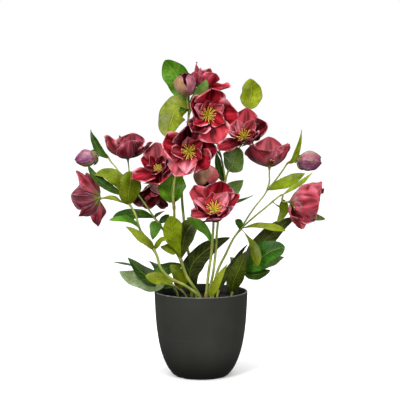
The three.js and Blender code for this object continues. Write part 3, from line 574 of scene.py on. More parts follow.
class Seat:
    """The place and directions of a flower or bud: axis the way it looks, x right, y up."""

    def __init__(self, at, faces):
        self.origin = np.array(at, float)
        self.axis = unit(np.array(faces, float))
        up = np.array((0, 0, 1.0) if abs(self.axis[2]) < 0.9 else (0, 1.0, 0))
        self.x = unit(np.cross(up, self.axis))
        self.y = np.cross(self.axis, self.x)


seats = {name: Seat(*place) for name, place in HEADS.items()}


def smooth_path(points, step):
    """Points about step apart on a smooth curve through the given ones."""
    p = np.array(points, float)
    p = np.vstack([2 * p[0] - p[1], p, 2 * p[-1] - p[-2]])
    out = []
    for a, b, c, d in zip(p, p[1:], p[2:], p[3:]):
        ab, bc, cd = (max(np.linalg.norm(v), 1e-6) ** 0.5 for v in (b - a, c - b, d - c))
        leave = ((b - a) / ab - (c - a) / (ab + bc) + (c - b) / bc) * bc
        arrive = ((c - b) / bc - (d - b) / (bc + cd) + (d - c) / cd) * bc
        u = np.linspace(0, 1, max(2, int(np.linalg.norm(c - b) / step)), endpoint=False)[:, None]
        out.append((2 * u ** 3 - 3 * u ** 2 + 1) * b + (u ** 3 - 2 * u ** 2 + u) * leave
                   + (3 * u ** 2 - 2 * u ** 3) * c + (u ** 3 - u ** 2) * arrive)
    return np.vstack(out + [p[-2:-1]])


def tube(skin, path, radii, sides, slot, **marks):
    """A round closed tube along path, with a radius and a value of each mark for each point of it."""
    along = unit(np.gradient(path, axis=0))
    side = np.cross(along[0], (0.31, 0.95, 0.07))
    rings = []
    for centre, direction, radius in zip(path, along, radii):
        side = unit(side - direction * side.dot(direction))
        up = np.cross(direction, side)
        a = 2 * np.pi * np.arange(sides)[:, None] / sides
        rings.append(centre + radius * (side * np.cos(a) + up * np.sin(a)))
    spread = {key: np.concatenate([value[:1], np.repeat(value, sides), value[-1:]])
              for key, value in marks.items()}
    wrap(skin, np.array(rings), path[0], path[-1], np.linspace(0, 1, len(path)), slot, **spread)


def outline(s, peak, full):
    """Half width, as a share of the greatest, of a blade that is widest at peak."""
    return np.maximum(np.sin(np.pi * s ** (math.log(0.5) / math.log(peak))), 0) ** full


def blade(skin, surface, rows, columns, thick, edge, slot, **marks):
    """A thin closed blade on the mid surface that surface(s, t) gives, where s runs along it from 0
    to 1 and t across it from -1 to 1. It thins to its edge. A mark is a number, a colour or a
    function of s and t, and the one named under is 1 on the lower face."""
    s = (0.5 - 0.5 * np.cos(np.pi * np.arange(rows) / (rows - 1)))[:, None] * np.ones((1, columns))
    s = 0.35 * s + 0.65 * np.linspace(0, 1, rows)[:, None]
    s = np.minimum(s, 0.9995)  # the last row stays apart at the very tip
    t = np.sin(0.5 * np.pi * np.linspace(-1, 1, columns))[None, :] * np.ones((rows, 1))
    middle = surface(s, t)
    normal = np.cross(np.gradient(middle, axis=0), np.gradient(middle, axis=1))
    normal[-1] = normal[-2]
    normal = unit(normal)
    half = (edge + (thick - edge) * (1 - t ** 4) * (1 - s ** 6))[:, :, None] / 2
    size = rows * columns
    top = np.arange(size).reshape(rows, columns)
    low = top + size

    def quads(a, b, c, d):
        return list(np.stack([a, b, c, d], -1).reshape(-1, 4))

    faces = quads(top[:-1, :-1], top[1:, :-1], top[1:, 1:], top[:-1, 1:])
    faces += quads(low[:-1, 1:], low[1:, 1:], low[1:, :-1], low[:-1, :-1])
    faces += quads(top[:-1, 0], low[:-1, 0], low[1:, 0], top[1:, 0])
    faces += quads(top[1:, -1], low[1:, -1], low[:-1, -1], top[:-1, -1])
    faces += quads(top[0, 1:], low[0, 1:], low[0, :-1], top[0, :-1])
    faces += quads(top[-1, :-1], low[-1, :-1], low[-1, 1:], top[-1, 1:])
    points = np.concatenate([middle + normal * half, middle - normal * half])
    uv = np.tile(np.stack([(t + 1) / 2, s], 2).reshape(-1, 2), (2, 1))
    marks = {key: np.tile(value(s, t).ravel(), 2) if callable(value) else value
             for key, value in marks.items()}
    skin.add(points, faces, uv, slot, under=np.repeat((0.0, 1.0), size), **marks)


def leaf(skin, root, middle, tip, width, face, colour, peak, full, phase):
    """A leaf with its rib on a curve from root to tip, folded up along the rib, edges waved."""
    root, middle, tip, face = (np.array(p, float) for p in (root, middle, tip, face))
    bend = 2 * middle - (root + tip) / 2
    span = np.linalg.norm(middle - root) + np.linalg.norm(tip - middle)

    def surface(s, t):
        u = s[:, :, None]
        rib = (1 - u) ** 2 * root + 2 * u * (1 - u) * bend + u ** 2 * tip
        along = unit(2 * (1 - u) * (bend - root) + 2 * u * (tip - bend))
        up = unit(face - along * (along @ face)[:, :, None])
        side = np.cross(up, along)
        half = np.maximum(width / 2 * outline(s, peak, full), 0.6)
        uneven = 0.06 * np.sin(8 * s + phase + 1.5 * np.sign(t)) + 0.03 * np.sin(19 * s + 2 * phase)
        half = half * (1 + uneven)
        groove = np.sqrt(t * t + 0.006) - 0.077
        ripple = LEAF_WAVE * t * t * np.sin(11 * s + 1.3 * np.sign(t) + phase) * np.sin(np.pi * s) ** 0.5
        veins_along = span / VEIN_STEP * s - 0.16 * width / 2 * np.abs(t)
        veins = 0.16 * np.abs(t) ** 0.5 * (1 - t ** 4) * np.cos(2 * np.pi * veins_along)
        lift = half * (LEAF_FOLD * groove + ripple) + veins * np.minimum(half / 8, 1) * 0.9
        sway = 0.05 * width * np.sin(np.pi * s) * np.sin(7 * s + 1.9 * phase)
        roll = 0.1 * np.sin(5 * s + 2.3 * phase) * half * t
        return rib + side * (half * t + sway)[:, :, None] + up * (lift + roll)[:, :, None]

    detail = 1 if width > 11 else 0.6  # small leaves need fewer faces
    rows = int(max(14, span / 2.2 * detail))
    columns = int(8 * detail + 9) | 1
    blade(skin, surface, rows, columns, LEAF_THICK, LEAF_EDGE, 1, leaf_colour=colour)


def nearest(lines, p):
    """The point nearest to p on the middle lines of the stalks made so far."""
    best = None
    for line in lines:
        a, d = line[:-1], np.diff(line, axis=0)
        u = np.clip(((p - a) * d).sum(1) / (d * d).sum(1), 0, 1)[:, None]
        feet = a + u * d
        k = np.linalg.norm(feet - p, axis=1).argmin()
        if best is None or np.linalg.norm(feet[k] - p) < np.linalg.norm(best - p):
            best = feet[k]
    return best


def stem_finish():
    skin = Finish("green_stem", Specular_IOR_Level=0.4, Subsurface_Weight=0.06, Subsurface_Scale=0.002)
    place = skin.place()
    strands = skin.noise(skin.stretch(flat_pattern(skin), (26, 3, 1)), 1.0, 3, 0.6)
    patches = skin.noise(place, 70, 3)
    knuckle = skin.mark("knuckle")
    colour = skin.mix(skin.fade(patches, 0.35, 0.7), tint("74832e"), tint("9ba24f"))
    colour = skin.mix(skin.fade(strands, 0.4, 0.75, 0, 0.5), colour, tint("5d6b22"))
    stain = skin.times(knuckle, skin.fade(patches, 0.3, 0.7, 0.35, 0.9))
    colour = skin.mix(stain, colour, tint("7a5a35"))
    return skin.done(Base_Color=colour, Roughness=skin.fade(strands, 0.3, 0.7, 0.45, 0.6),
                     Normal=skin.bump(strands, 0.5, 0.0004))


def leaf_finish():
    skin = Finish("leaf_green", Specular_IOR_Level=0.11, Subsurface_Weight=0.05, Subsurface_Scale=0.001)
    across, along = across_and_along(skin)
    side = skin.math("ABSOLUTE", across)
    under = skin.mark("under")
    own = skin.mark("leaf_colour", "Color")
    place = skin.place()
    patches = skin.noise(place, 34, 4, 0.6)
    mottle = skin.noise(place, 150, 3, 0.6)
    cells = skin.noise(place, 900, 3, 0.6)
    # Side veins leave the midrib in pairs and bend towards the tip.
    bent = skin.times(skin.math("POWER", side, 0.8), 0.17)
    count = skin.math("SUBTRACT", along, bent)
    wave = skin.math("PINGPONG", skin.times(count, 11.0), 0.5)
    vein = skin.fade(wave, 0.0, 0.09, 1, 0)
    vein = skin.times(vein, skin.fade(side, 0.75, 1.0, 1, 0))
    rib = skin.fade(side, 0.015, 0.07, 1, 0)
    lines = skin.math("MAXIMUM", rib, skin.times(vein, 0.4))
    # Broad light and dark patches, then a fine mottle, quilting between the veins, and painted shade in the
    # rib's groove.
    dark = skin.deepen(own, tint("8f966c"))
    bright = skin.mix(0.2, own, tint("b8c656"))
    colour = skin.mix(skin.fade(patches, 0.3, 0.6, 0.15, 1), dark, own)
    colour = skin.mix(skin.fade(patches, 0.48, 0.78, 0, 0.8), colour, bright)
    colour = skin.mix(skin.fade(mottle, 0.5, 0.7, 0, 0.35), colour, dark)
    colour = skin.mix(skin.fade(along, 0.0, 0.3, 0.55, 0), colour, dark)
    quilt = skin.times(skin.fade(wave, 0.1, 0.42), skin.fade(mottle, 0.38, 0.62))
    colour = skin.mix(skin.times(quilt, 0.3), colour, dark)
    colour = skin.mix(skin.times(lines, 0.26), colour, tint("a9b340"))
    # Painted shade in the groove beside the rib.
    groove = skin.times(skin.fade(side, 0.04, 0.2, 0.4, 0), skin.fade(side, 0.03, 0.05))
    colour = skin.mix(groove, colour, dark)
    edge = skin.fade(side, 0.88, 1.0, 0, 0.6)
    colour = skin.mix(edge, colour, skin.deepen(own, tint("8f946c")))
    pale = skin.mix(0.35, own, tint("8a9a48"))
    colour = skin.mix(skin.times(under, 0.75), colour, pale)
    relief = skin.math("ADD", lines, skin.times(cells, 0.5))
    rough = skin.fade(patches, 0.3, 0.7, 0.24, 0.44)
    return skin.done(Base_Color=colour, Roughness=rough, Normal=skin.bump(relief, 0.45, 0.0004))


stem_green = stem_finish()
leaf_green = leaf_finish()


def leafy_stem(name, stalks, leaves):
    """One branching stem with its leaves."""
    skin = Skin(under="FLOAT", knuckle="FLOAT", leaf_colour="FLOAT_COLOR")
    lines, shapes = [], []
    for points, rooted, head, thick in stalks:
        path = [np.array(p, float) for p in points]
        if rooted:
            path.insert(0, np.array((path[0][0], path[0][1], MIX_TOP - HOLE_DEPTH)))
        else:
            path[0] = nearest(lines, path[0])
        if head:
            seat = seats[head]
            path += [seat.origin - APPROACH * seat.axis, seat.origin - FIT_GAP * seat.axis]
        lines.append(smooth_path(path, STALK_STEP))
        shapes.append((thick, bool(head)))
    roots = [nearest(lines, np.array(one[0], float)) for one in leaves]
    forks = np.array(roots + [line[0] for line in lines[1:]])
    for line, (thick, ends_in_head) in zip(lines, shapes):
        length = np.concatenate([[0], np.cumsum(np.linalg.norm(np.diff(line, axis=0), axis=1))])
        radius = thick[0] + (thick[1] - thick[0]) * length / length[-1]
        gap = np.linalg.norm(line[:, None] - forks[None], axis=2).min(1)
        knuckle = np.exp(-(gap / KNUCKLE_REACH) ** 2)
        radius = radius * (1 + KNUCKLE_SWELL * knuckle)
        if ends_in_head:
            near_end = np.clip(1 - (length[-1] - length) / RECEPTACLE_LENGTH, 0, 1)
            radius = radius + (RECEPTACLE_RADIUS - radius) * near_end ** 1.5
            knuckle = np.maximum(knuckle, near_end)
        tube(skin, line, radius, STALK_SIDES, 0, knuckle=knuckle)
    for k, (root, (_, *shape)) in enumerate(zip(roots, leaves)):
        leaf(skin, root, *shape, phase=1.7 * k)
    return skin.piece(name, stem_green, leaf_green)


def stalk(*points, rooted=False, head=None, thick=None):
    """A rooted stalk stands in the mix, and another starts on the nearest stalk before it. head
    names the flower or bud on its end, and thick is its radius at foot and end."""
    return points, rooted, head, thick or (MAIN_RADIUS if rooted else TWIG_RADIUS)


# The stalks of each stem, and its leaves: where each starts, the middle and the tip of its rib,
# its width, the way its upper face looks, its colour, how far along it is widest, and how
# pointed it is (1 is a plain arch and less is rounder).
STEMS = {
    "stem_far_left": ([
        stalk((1, -22, 110), (-21, -32, 131), (-41, -38, 142), (-55, -38, 156), (-62, -34, 176),
              (-72, -28, 191), (-84, -22, 207), (-92, -14, 230), (-100, -8, 243), rooted=True),
        stalk((-100, -8, 243), (-112, -6, 267), (-117, -4, 291), (-126, -2, 302), head="bud_left"),
        stalk((-100, -8, 243), (-115, -10, 248), head="bloom_far_left"),
    ], [
        ((-100, -8, 243), (-100, -18, 268), (-97, -20, 290), 32, (0.2, -1, 0.1), MOSS, 0.5, 0.55),
        ((-104, -8, 246), (-119, -10, 280), (-148, -16, 284), 23, (0, -1, 0.6), MOSS, 0.55, 0.8),
        ((-130, 0, 306), (-146, 0, 324), (-155, 4, 347), 13, (-0.3, -1, 0), DEEP, 0.45, 1),
        ((-112, -5, 252), (-140, -12, 275), (-158, -14, 300), 13, (0.3, -1, 0.3), DEEP, 0.45, 0.9),
        ((-112, -5, 247), (-124, -14, 252), (-137, -14, 253), 10, (0, -0.6, 1), LIME, 0.45, 1),
        ((-64, -33, 182), (-81, -40, 199), (-103, -44, 215), 14, (0.3, -1, 0.6), LIME, 0.45, 0.8),
        ((-80, -24, 205), (-97, -26, 221), (-127, -30, 223), 11, (0.1, -1, 0.8), LEAF, 0.7, 0.7),
        ((-63, -33, 183), (-55, -39, 195), (-46, -48, 196), 10, (0, -1, 0.7), FRESH, 0.45, 0.8),
        ((-37, -37, 139), (-54, -46, 142), (-76, -52, 148), 20, (0.2, -1, 0.8), LIME, 0.6, 0.6),
    ]),
    "stem_left": ([
        stalk((-1, -6, 110), (-20, -12, 142), (-28, -16, 165), (-35, -22, 187), (-37, -28, 212),
              (-37, -32, 234), (-38, -36, 262), (-34, -34, 288), rooted=True, head="bloom_heart"),
        stalk((-28, -16, 165), (-41, -6, 185), (-49, 0, 199), (-58, 3, 213), (-67, 6, 224),
              thick=(1.8, 1.4)),
        stalk((-67, 6, 224), (-78, 4, 241), (-88, 8, 254), (-100, 20, 272), head="bloom_left_cup"),
        stalk((-37, -33, 241), (-41, -10, 263), (-46, -3, 281), head="bloom_left_mid"),
        stalk((-42, -9, 267), (-49, 10, 282), (-61, 32, 289), head="bloom_nodding"),
    ], [
        ((-37, -34, 247), (-41, -16, 269), (-40, -6, 290), 38, (0, -1, 0.2), GRASS, 0.45, 0.6),
        ((-67, 6, 221), (-96, 0, 228), (-124, -4, 222), 21, (0, -0.8, 0.8), DEEP, 0.6, 0.6),
        ((-67, 6, 221), (-61, 2, 228), (-51, 0, 233), 5, (0, -1, 0.5), OLIVE, 0.45, 1),
        ((-58, 4, 218), (-64, -2, 210), (-68, -6, 193), 18, (-0.3, -1, 0), LEAF, 0.45, 0.7),
        ((-59, 4, 215), (-51, 6, 222), (-45, 6, 227), 10, (0, -1, 0), DEEP, 0.45, 0.8),
        ((-29, -17, 164), (-36, -34, 196), (-42, -42, 230), 27, (0.1, -1, 0.3), FRESH, 0.72, 0.7),
        ((-32, -20, 179), (-44, -28, 182), (-56, -30, 186), 15, (0, -1, 0.5), MOSS, 0.45, 0.8),
        ((-28, -15, 165), (-22, -8, 196), (-7, -6, 223), 27, (-0.3, -1, 0), OLIVE, 0.6, 0.65),
    ]),
    "stem_front": ([
        stalk((7, -34, 110), (10, -36, 147), (14, -38, 175), (16, -42, 199), (17, -46, 218),
              rooted=True, head="bloom_front_low"),
        stalk((8, -34, 118), (15, -32, 140), (20, -32, 175), (22, -32, 205), (26, -27, 240),
              (34, -20, 278), thick=(1.9, 1.5)),
        stalk((34, -20, 278), (29, -8, 305), (21, -2, 333), (14, -10, 355), head="bloom_crown"),
        stalk((34, -20, 278), (39, -14, 293), (49, 4, 313), (59, 10, 328), head="bloom_right_high"),
        stalk((28, -7, 312), (18, -14, 321), (8, -19, 318), head="bud_hanging"),
        stalk((59, 10, 333), (66, 14, 352), (68, 15, 377), thick=(1.1, 0.9)),
    ], [
        ((68, 15, 376), (70, 16, 397), (69, 14, 419), 32, (0.2, -1, 0), YOUNG, 0.45, 0.6),
        ((38, -16, 290), (46, -12, 305), (51, -2, 323), 31, (0.1, -1, 0.3), SAGE, 0.45, 0.6),
        ((33, -20, 274), (25, -10, 294), (22, -2, 316), 12, (-0.4, -1, 0), DEEP, 0.45, 0.8),
        ((28, -24, 252), (43, -14, 263), (59, -10, 277), 22, (0.1, -1, 0.1), SAGE, 0.45, 0.8),
        ((26, -26, 245), (48, -30, 248), (72, -30, 257), 6, (0, -1, 1), DEEP, 0.45, 1),
        ((15, -37, 188), (3, -35, 212), (-20, -32, 226), 15, (0.4, -1, 0.5), LEAF, 0.58, 0.8),
    ]),
    "stem_right": ([
        stalk((16, -10, 110), (23, -10, 148), (35, -8, 173), (46, -6, 195), (56, -5, 208), rooted=True),
        stalk((56, -5, 208), (62, -3, 218), (75, 3, 237), (89, 8, 254), (94, 10, 262)),
        stalk((94, 10, 262), (97, 12, 274), head="bloom_right_cup"),
        stalk((94, 10, 262), (105, 10, 275), (117, 8, 292), head="bud_right"),
        stalk((56, -5, 208), (66, -9, 218), (88, -13, 237), (114, -15, 257), head="bloom_far_right"),
    ], [
        ((60, -6, 203), (54, -8, 215), (48, -10, 221), 11, (0.2, -1, 0.4), IVY, 0.6, 0.6),
        ((56, -5, 208), (70, -18, 190), (80, -22, 157), 16, (0.5, -1, 0.3), MOSS, 0.76, 0.85),
        ((56, -5, 208), (86, -12, 213), (118, -14, 206), 14, (0, -0.8, 0.8), LIME, 0.68, 0.7),
        ((110, -15, 250), (117, -6, 236), (107, -6, 217), 15, (-0.5, -1, 0.2), MOSS, 0.45, 0.7),
        ((95, 10, 262), (123, 4, 274), (146, 0, 286), 20, (-0.3, -1, 0.7), FRESH, 0.45, 0.8),
        ((123, 6, 299), (134, 2, 313), (141, 0, 347), 9, (0.4, -1, 0), FRESH, 0.45, 1),
        ((114, -15, 257), (136, -18, 272), (155, -18, 288), 8, (-0.3, -1, 0.6), FRESH, 0.45, 1),
        ((100, -14, 247), (130, 36, 229), (179, 34, 218), 13, (0.2, -1, 0.4), SAGE, 0.75, 0.6),
    ]),
    "stem_back": ([
        stalk((-13, 12, 110), (-16, 12, 145), (-17, 10, 168), (-20, 8, 182), (-25, 6, 227),
              (-27, 4, 255), (-26, 8, 290), (-21, 10, 333), (-17, 10, 369), rooted=True),
        stalk((-17, 10, 369), (-18, 6, 377), head="bud_top"),
        stalk((-17, 10, 369), (-8, 16, 386), head="bloom_top_back"),
    ], [
        ((-20, 8, 378), (-31, 22, 413), (-51, 20, 445), 36, (-0.2, -1, 0.1), LEAF, 0.62, 0.6),
        ((-19, 8, 376), (-39, 4, 370), (-45, -2, 336), 43, (-0.4, -1, 0.4), LIME, 0.52, 0.52),
        ((-17, 6, 374), (-24, -6, 376), (-31, -12, 372), 9, (0, -0.6, 1), DEEP, 0.45, 0.8),
        ((-15, 8, 375), (0, -8, 397), (7, -10, 417), 20, (-0.2, -1, 0), SAGE, 0.45, 0.8),
    ]),
    "leaf_centre": ([
        stalk((-7, 4, 110), (-9, 3, 122), rooted=True, thick=(1.8, 1.4)),
    ], [
        ((-9, 3, 119), (-9, 4, 162), (41, 10, 194), 30, (0.2, -1, 0), BRONZE, 0.45, 0.7),
    ]),
    "leaf_left": ([
        stalk((-21, 6, 110), (-35, 0, 125), (-55, -10, 131), rooted=True, thick=(1.8, 1.4)),
    ], [
        ((-52, -8, 128), (-82, -16, 134), (-114, -22, 150), 30, (0, -0.9, 0.7), GREY, 0.45, 0.7),
        ((-40, -2, 120), (-72, -8, 140), (-103, -10, 168), 26, (0.2, -0.9, 0.7), DEEP, 0.45, 0.8),
        ((-52, -8, 128), (-52, -2, 150), (-20, 6, 154), 22, (0, -0.8, 0.8), DEEP, 0.45, 0.8),
        ((-34, -6, 120), (-30, -8, 140), (-44, -10, 158), 22, (0.3, -1, 0.2), MOSS, 0.45, 0.65),
    ]),
    "leaf_right": ([
        stalk((43, 6, 110), (50, 4, 128), (63, 4, 146), rooted=True, thick=(1.8, 1.4)),
    ], [
        ((44, 5, 116), (50, -10, 145), (65, -14, 178), 23, (-0.2, -1, 0.1), OLIVE, 0.45, 0.65),
        ((63, 4, 146), (90, -4, 170), (118, -8, 183), 33, (0, -1, 0.6), IVY, 0.52, 0.55),
        ((63, 4, 146), (92, 9, 157), (118, 10, 166), 21, (0, -0.8, 0.8), SAGE, 0.45, 0.8),
        ((63, 4, 143), (79, 0, 142), (98, -2, 149), 18, (0, -0.9, 0.8), DEEP, 0.45, 0.65),
        ((63, 4, 146), (90, 12, 190), (134, 16, 222), 27, (-0.2, -1, 0.4), OLIVE, 0.45, 0.7),
    ]),
    "leaf_back_left": ([
        stalk((-34, 28, 110), (-42, 38, 122), (-52, 48, 134), rooted=True, thick=(1.8, 1.4)),
    ], [
        ((-52, 48, 134), (-90, 44, 146), (-128, 34, 156), 17, (0, -0.1, 1), DEEP, 0.45, 0.8),
        ((-52, 48, 134), (-60, 78, 146), (-70, 104, 136), 30, (0, 0.3, 1), DEEP, 0.45, 0.8),
        ((-51, 47, 133), (-28, 70, 144), (-8, 92, 138), 26, (0.1, 0.3, 1), DEEP, 0.45, 0.8),
    ]),
    "leaf_back_right": ([
        stalk((24, 28, 110), (34, 38, 126), (48, 50, 142), rooted=True, thick=(1.8, 1.4)),
    ], [
        ((48, 50, 142), (76, 60, 158), (106, 62, 162), 26, (0.2, 0.2, 1), DEEP, 0.45, 0.8),
        ((48, 50, 142), (58, 78, 154), (64, 104, 146), 28, (0, 0.3, 1), DEEP, 0.45, 0.8),
        ((25, 29, 114), (44, 20, 152), (66, 10, 184), 11, (-0.6, -1, 0.5), BRONZE, 0.45, 0.8),
    ]),
    "leaf_front": ([
        stalk((13, -44, 110), (14, -45, 118), rooted=True, thick=(1.6, 1.3)),
    ], [
        ((14, -45, 116), (20, -48, 136), (36, -50, 164), 12, (0, -1, 0.2), LIME, 0.45, 0.8),
    ]),
}

for node, (stalks, leaves) in STEMS.items():
    foliage = leafy_stem("green_" + node, stalks, leaves)
    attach(foliage, "root")
    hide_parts(node)

# ---- Petals ----
# Each flower has five broad crimson petals round five smaller ones, all grown from one small
# disc. They are thin, cupped, pleated and marbled, with ruffled pale rims.
PETAL_THICK = 0.7
PETAL_EDGE = 0.3
DISC_RADIUS = 3.6
DISC_HEIGHTS = (0.3, 0.9, 1.9)
DISC_SWELL = (0.8, 1, 0.9)
PLEAT_DEPTH = 0.035  # as a share of the petal's length
CRUMPLE = 0.15

# How each kind of petal is shaped: where its root sits out from the flower's axis and up it, how
# far along it is widest, how pointed it is, half the width of its foot, how far its edges turn up,
# its twist, and how deep its edge waves are. A ruffled one is pleated and crumpled deeper too.
ROUND = {"root": (3.4, 0.7), "peak": 0.6, "full": 0.56, "claw": 1.3, "cup": 0.42, "tilt": 0.25, "wave": 0.28}
SMALL = {"root": (2, 1.5), "peak": 0.5, "full": 0.9, "claw": 0.9, "cup": 0.4, "tilt": 0.3, "wave": 0.25}
POINTED = {**ROUND, "full": 1.0, "peak": 0.52}
RUFFLED = {**ROUND, "full": 0.38, "fold": 0.055, "crumple": 0.6}
CUPPED = {**ROUND, "full": 0.45, "peak": 0.55}
TWISTED = {**ROUND, "tilt": 0.8}
BELL = {**ROUND, "full": 0.42, "peak": 0.45, "cup": 0.3, "claw": 3}

RED = tint("aa1829")
CRIMSON = tint("931224")
DUSKY = tint("8a2438")
MAROON = tint("5a0814")
ROSE = tint("b03842")
CORAL = tint("b8323f")


def petal(skin, seat, shape, azimuth, length, width, start, end, colour, pale):
    """One petal that leans out from the flower's axis, pleated along its length, edges ruffled."""
    azimuth = math.radians(azimuth)
    out = seat.x * math.cos(azimuth) + seat.y * math.sin(azimuth)
    side = seat.y * math.cos(azimuth) - seat.x * math.sin(azimuth)
    start = math.radians(start)
    turn = math.radians(end) - start

    def fold(s, t):
        """Where the petal stands proud, from about -1 to 1: fanned pleats and a ruffled edge."""
        fans = 0.55 * np.sin(6.5 * t + 3 * s + 2 * azimuth) + 0.3 * np.sin(17 * t + 4 * azimuth + 2.5 * s)
        fans = fans + (shape.get("crumple", CRUMPLE) * np.sin(10 * s + 5 * t + 2 * azimuth)
                       * np.cos(8 * t - 4 * s + azimuth))
        fans = fans * np.sin(np.pi * np.minimum(s, 1)) ** 0.7 * (1 - t ** 4)
        return fans + 1.3 * s * np.abs(t) ** 3 * np.sin(13 * s + 3 * azimuth + 2.2 * np.sign(t))

    def surface(s, t):
        lean = start + turn * s
        half = width / 2 * outline(s, shape["peak"], shape["full"])
        half = np.maximum(half, shape["claw"] * (1 - 0.9 * s ** 8))
        half = half * (1 + 0.05 * s * np.sin(11 * s + 2 * azimuth + 2 * np.sign(t)))
        ripple = shape["wave"] * s * t * t * np.sin(5 * s + 2 * t + azimuth)
        crease = -0.05 * np.exp(-(t / 0.14) ** 2) * np.sin(np.pi * np.minimum(s, 1))
        lift = half * (shape["cup"] * t * t + shape["tilt"] * t + ripple + crease)
        lift = lift + shape.get("fold", PLEAT_DEPTH) * length * fold(s, t)
        reach = shape["root"][0] + length * (np.sin(lean) - math.sin(start)) / turn - lift * np.sin(lean)
        height = shape["root"][1] + length * (math.cos(start) - np.cos(lean)) / turn + lift * np.cos(lean)
        return (seat.origin + out * reach[:, :, None] + side * (half * t)[:, :, None]
                + seat.axis * height[:, :, None])

    rows, columns = (34, 27) if length > 30 else (22, 19)
    blade(skin, surface, rows, columns, PETAL_THICK, PETAL_EDGE, 0, petal_colour=colour, pale=pale,
          streak=azimuth, fold=fold)


def petal_finish():
    skin = Finish("petal_cloth", Specular_IOR_Level=0.12, Subsurface_Weight=0.08, Subsurface_Scale=0.001)
    across, along = across_and_along(skin)
    side = skin.math("ABSOLUTE", across)
    own = skin.mark("petal_colour", "Color")
    pale = skin.mark("pale")
    under = skin.mark("under")
    streak = skin.mark("streak")
    place = skin.place()
    lane = skin.node("CombineXYZ", X=skin.times(across, 9.0), Y=skin.times(along, 1.3),
                     Z=skin.times(streak, 3.0))
    streaks = skin.noise(lane, 1.0, 5, 0.65)
    blots = skin.noise(place, 62, 4, 0.6)
    fold = skin.mark("fold")
    # Inner face: painted highlight on fold crests, painted shade in hollows and throat, pale middle and rim.
    deep = skin.deepen(own, tint("96505a"))
    bright = skin.mix(0.32, own, tint("e04454"))
    # Painted shade in the hollows of the folds, and a painted highlight on their crests.
    colour = skin.mix(skin.fade(fold, -0.5, 0.2), deep, own)
    colour = skin.mix(skin.fade(fold, 0.1, 0.75, 0, 0.8), colour, bright)
    colour = skin.mix(skin.fade(streaks, 0.5, 0.66, 0, 0.45), colour, deep)
    # Painted shade in the throat, broken up by blots.
    throat_shade = skin.times(skin.fade(along, 0.12, 0.5, 0.8, 0), skin.fade(blots, 0.35, 0.6, 1, 0.4))
    colour = skin.mix(throat_shade, colour, tint("4c0610"))
    middle = skin.times(skin.fade(side, 0.25, 1.0, 1, 0.1), skin.fade(along, 0.25, 0.7))
    # The petal's own paler middle, brighter on the fold crests as a painted highlight.
    pale_and_crest_highlight = skin.times(skin.fade(pale, 0.3, 1.3), skin.fade(fold, -0.5, 0.5, 0.5, 1.0))
    pale_and_crest_highlight = skin.times(middle, pale_and_crest_highlight, clamp=True)
    colour = skin.mix(pale_and_crest_highlight, colour, tint("ee98a8"))
    marble = skin.times(skin.fade(side, 0.45, 0.95), skin.fade(along, 0.35, 0.65))
    marble = skin.times(marble, skin.fade(skin.noise(place, 85, 5, 0.7), 0.49, 0.58, 0, 0.5))
    colour = skin.mix(marble, colour, tint("f2a6b2"))
    heart = skin.fade(along, 0.03, 0.14, 0.85, 0)
    colour = skin.mix(heart, colour, tint("8d9a52"))
    vein = skin.fade(side, 0.0, 0.03, 0.25, 0)
    colour = skin.mix(vein, colour, tint("c84a5a"))
    rim = skin.times(skin.fade(side, 0.78, 0.98), skin.fade(along, 0.25, 0.6))
    rim = skin.math("MAXIMUM", rim, skin.fade(along, 0.92, 0.99))
    rim = skin.times(rim, skin.fade(blots, 0.42, 0.6, 0.15, 0.85))
    colour = skin.mix(rim, colour, tint("f0a2ac"))
    # The outer face is duller, green at its foot, with a pale band above that, partly painted highlight.
    dusky = skin.mix(0.2, own, tint("b5607a"))
    # Painted shade in the hollows of the folds.
    back = skin.mix(skin.fade(fold, -0.6, 0.4, 1, 0), deep, dusky)
    back = skin.mix(skin.fade(streaks, 0.52, 0.7, 0, 0.5), back, tint("d596a2"))
    # The pale band is partly the petal's own tone and partly a painted highlight, strongest on the fold
    # crests.
    band = skin.times(skin.fade(along, 0.1, 0.26, 0, 0.6), skin.fade(along, 0.26, 0.55, 1, 0))
    band = skin.times(band, skin.fade(fold, -0.2, 0.5, 0.3, 1))
    back = skin.mix(skin.times(band, pale, clamp=True), back, tint("e6bcc4"))
    # Painted lilac highlights in noise patches on the paler petals.
    lilac_highlight = skin.fade(skin.noise(place, 75, 5, 0.65), 0.48, 0.66)
    lilac_highlight = skin.times(lilac_highlight, skin.fade(pale, 0.6, 1.2))
    back = skin.mix(skin.times(lilac_highlight, 0.3), back, tint("e0a8c4"))
    back = skin.mix(skin.times(marble, 0.7), back, tint("cf8c9c"))
    back = skin.mix(skin.fade(along, 0.06, 0.28, 0.85, 0), back, tint("6f6f3a"))
    colour = skin.mix(skin.times(under, 0.9), colour, back)
    return skin.done(Base_Color=colour, Roughness=skin.fade(streaks, 0.3, 0.7, 0.42, 0.6),
                     Normal=skin.bump(streaks, 0.5, 0.0005))


def five_alike(first, *rest):
    """An inner ring of five petals that are all alike and evenly spaced."""
    return [(SMALL, first + 72 * k, *rest) for k in range(5)]


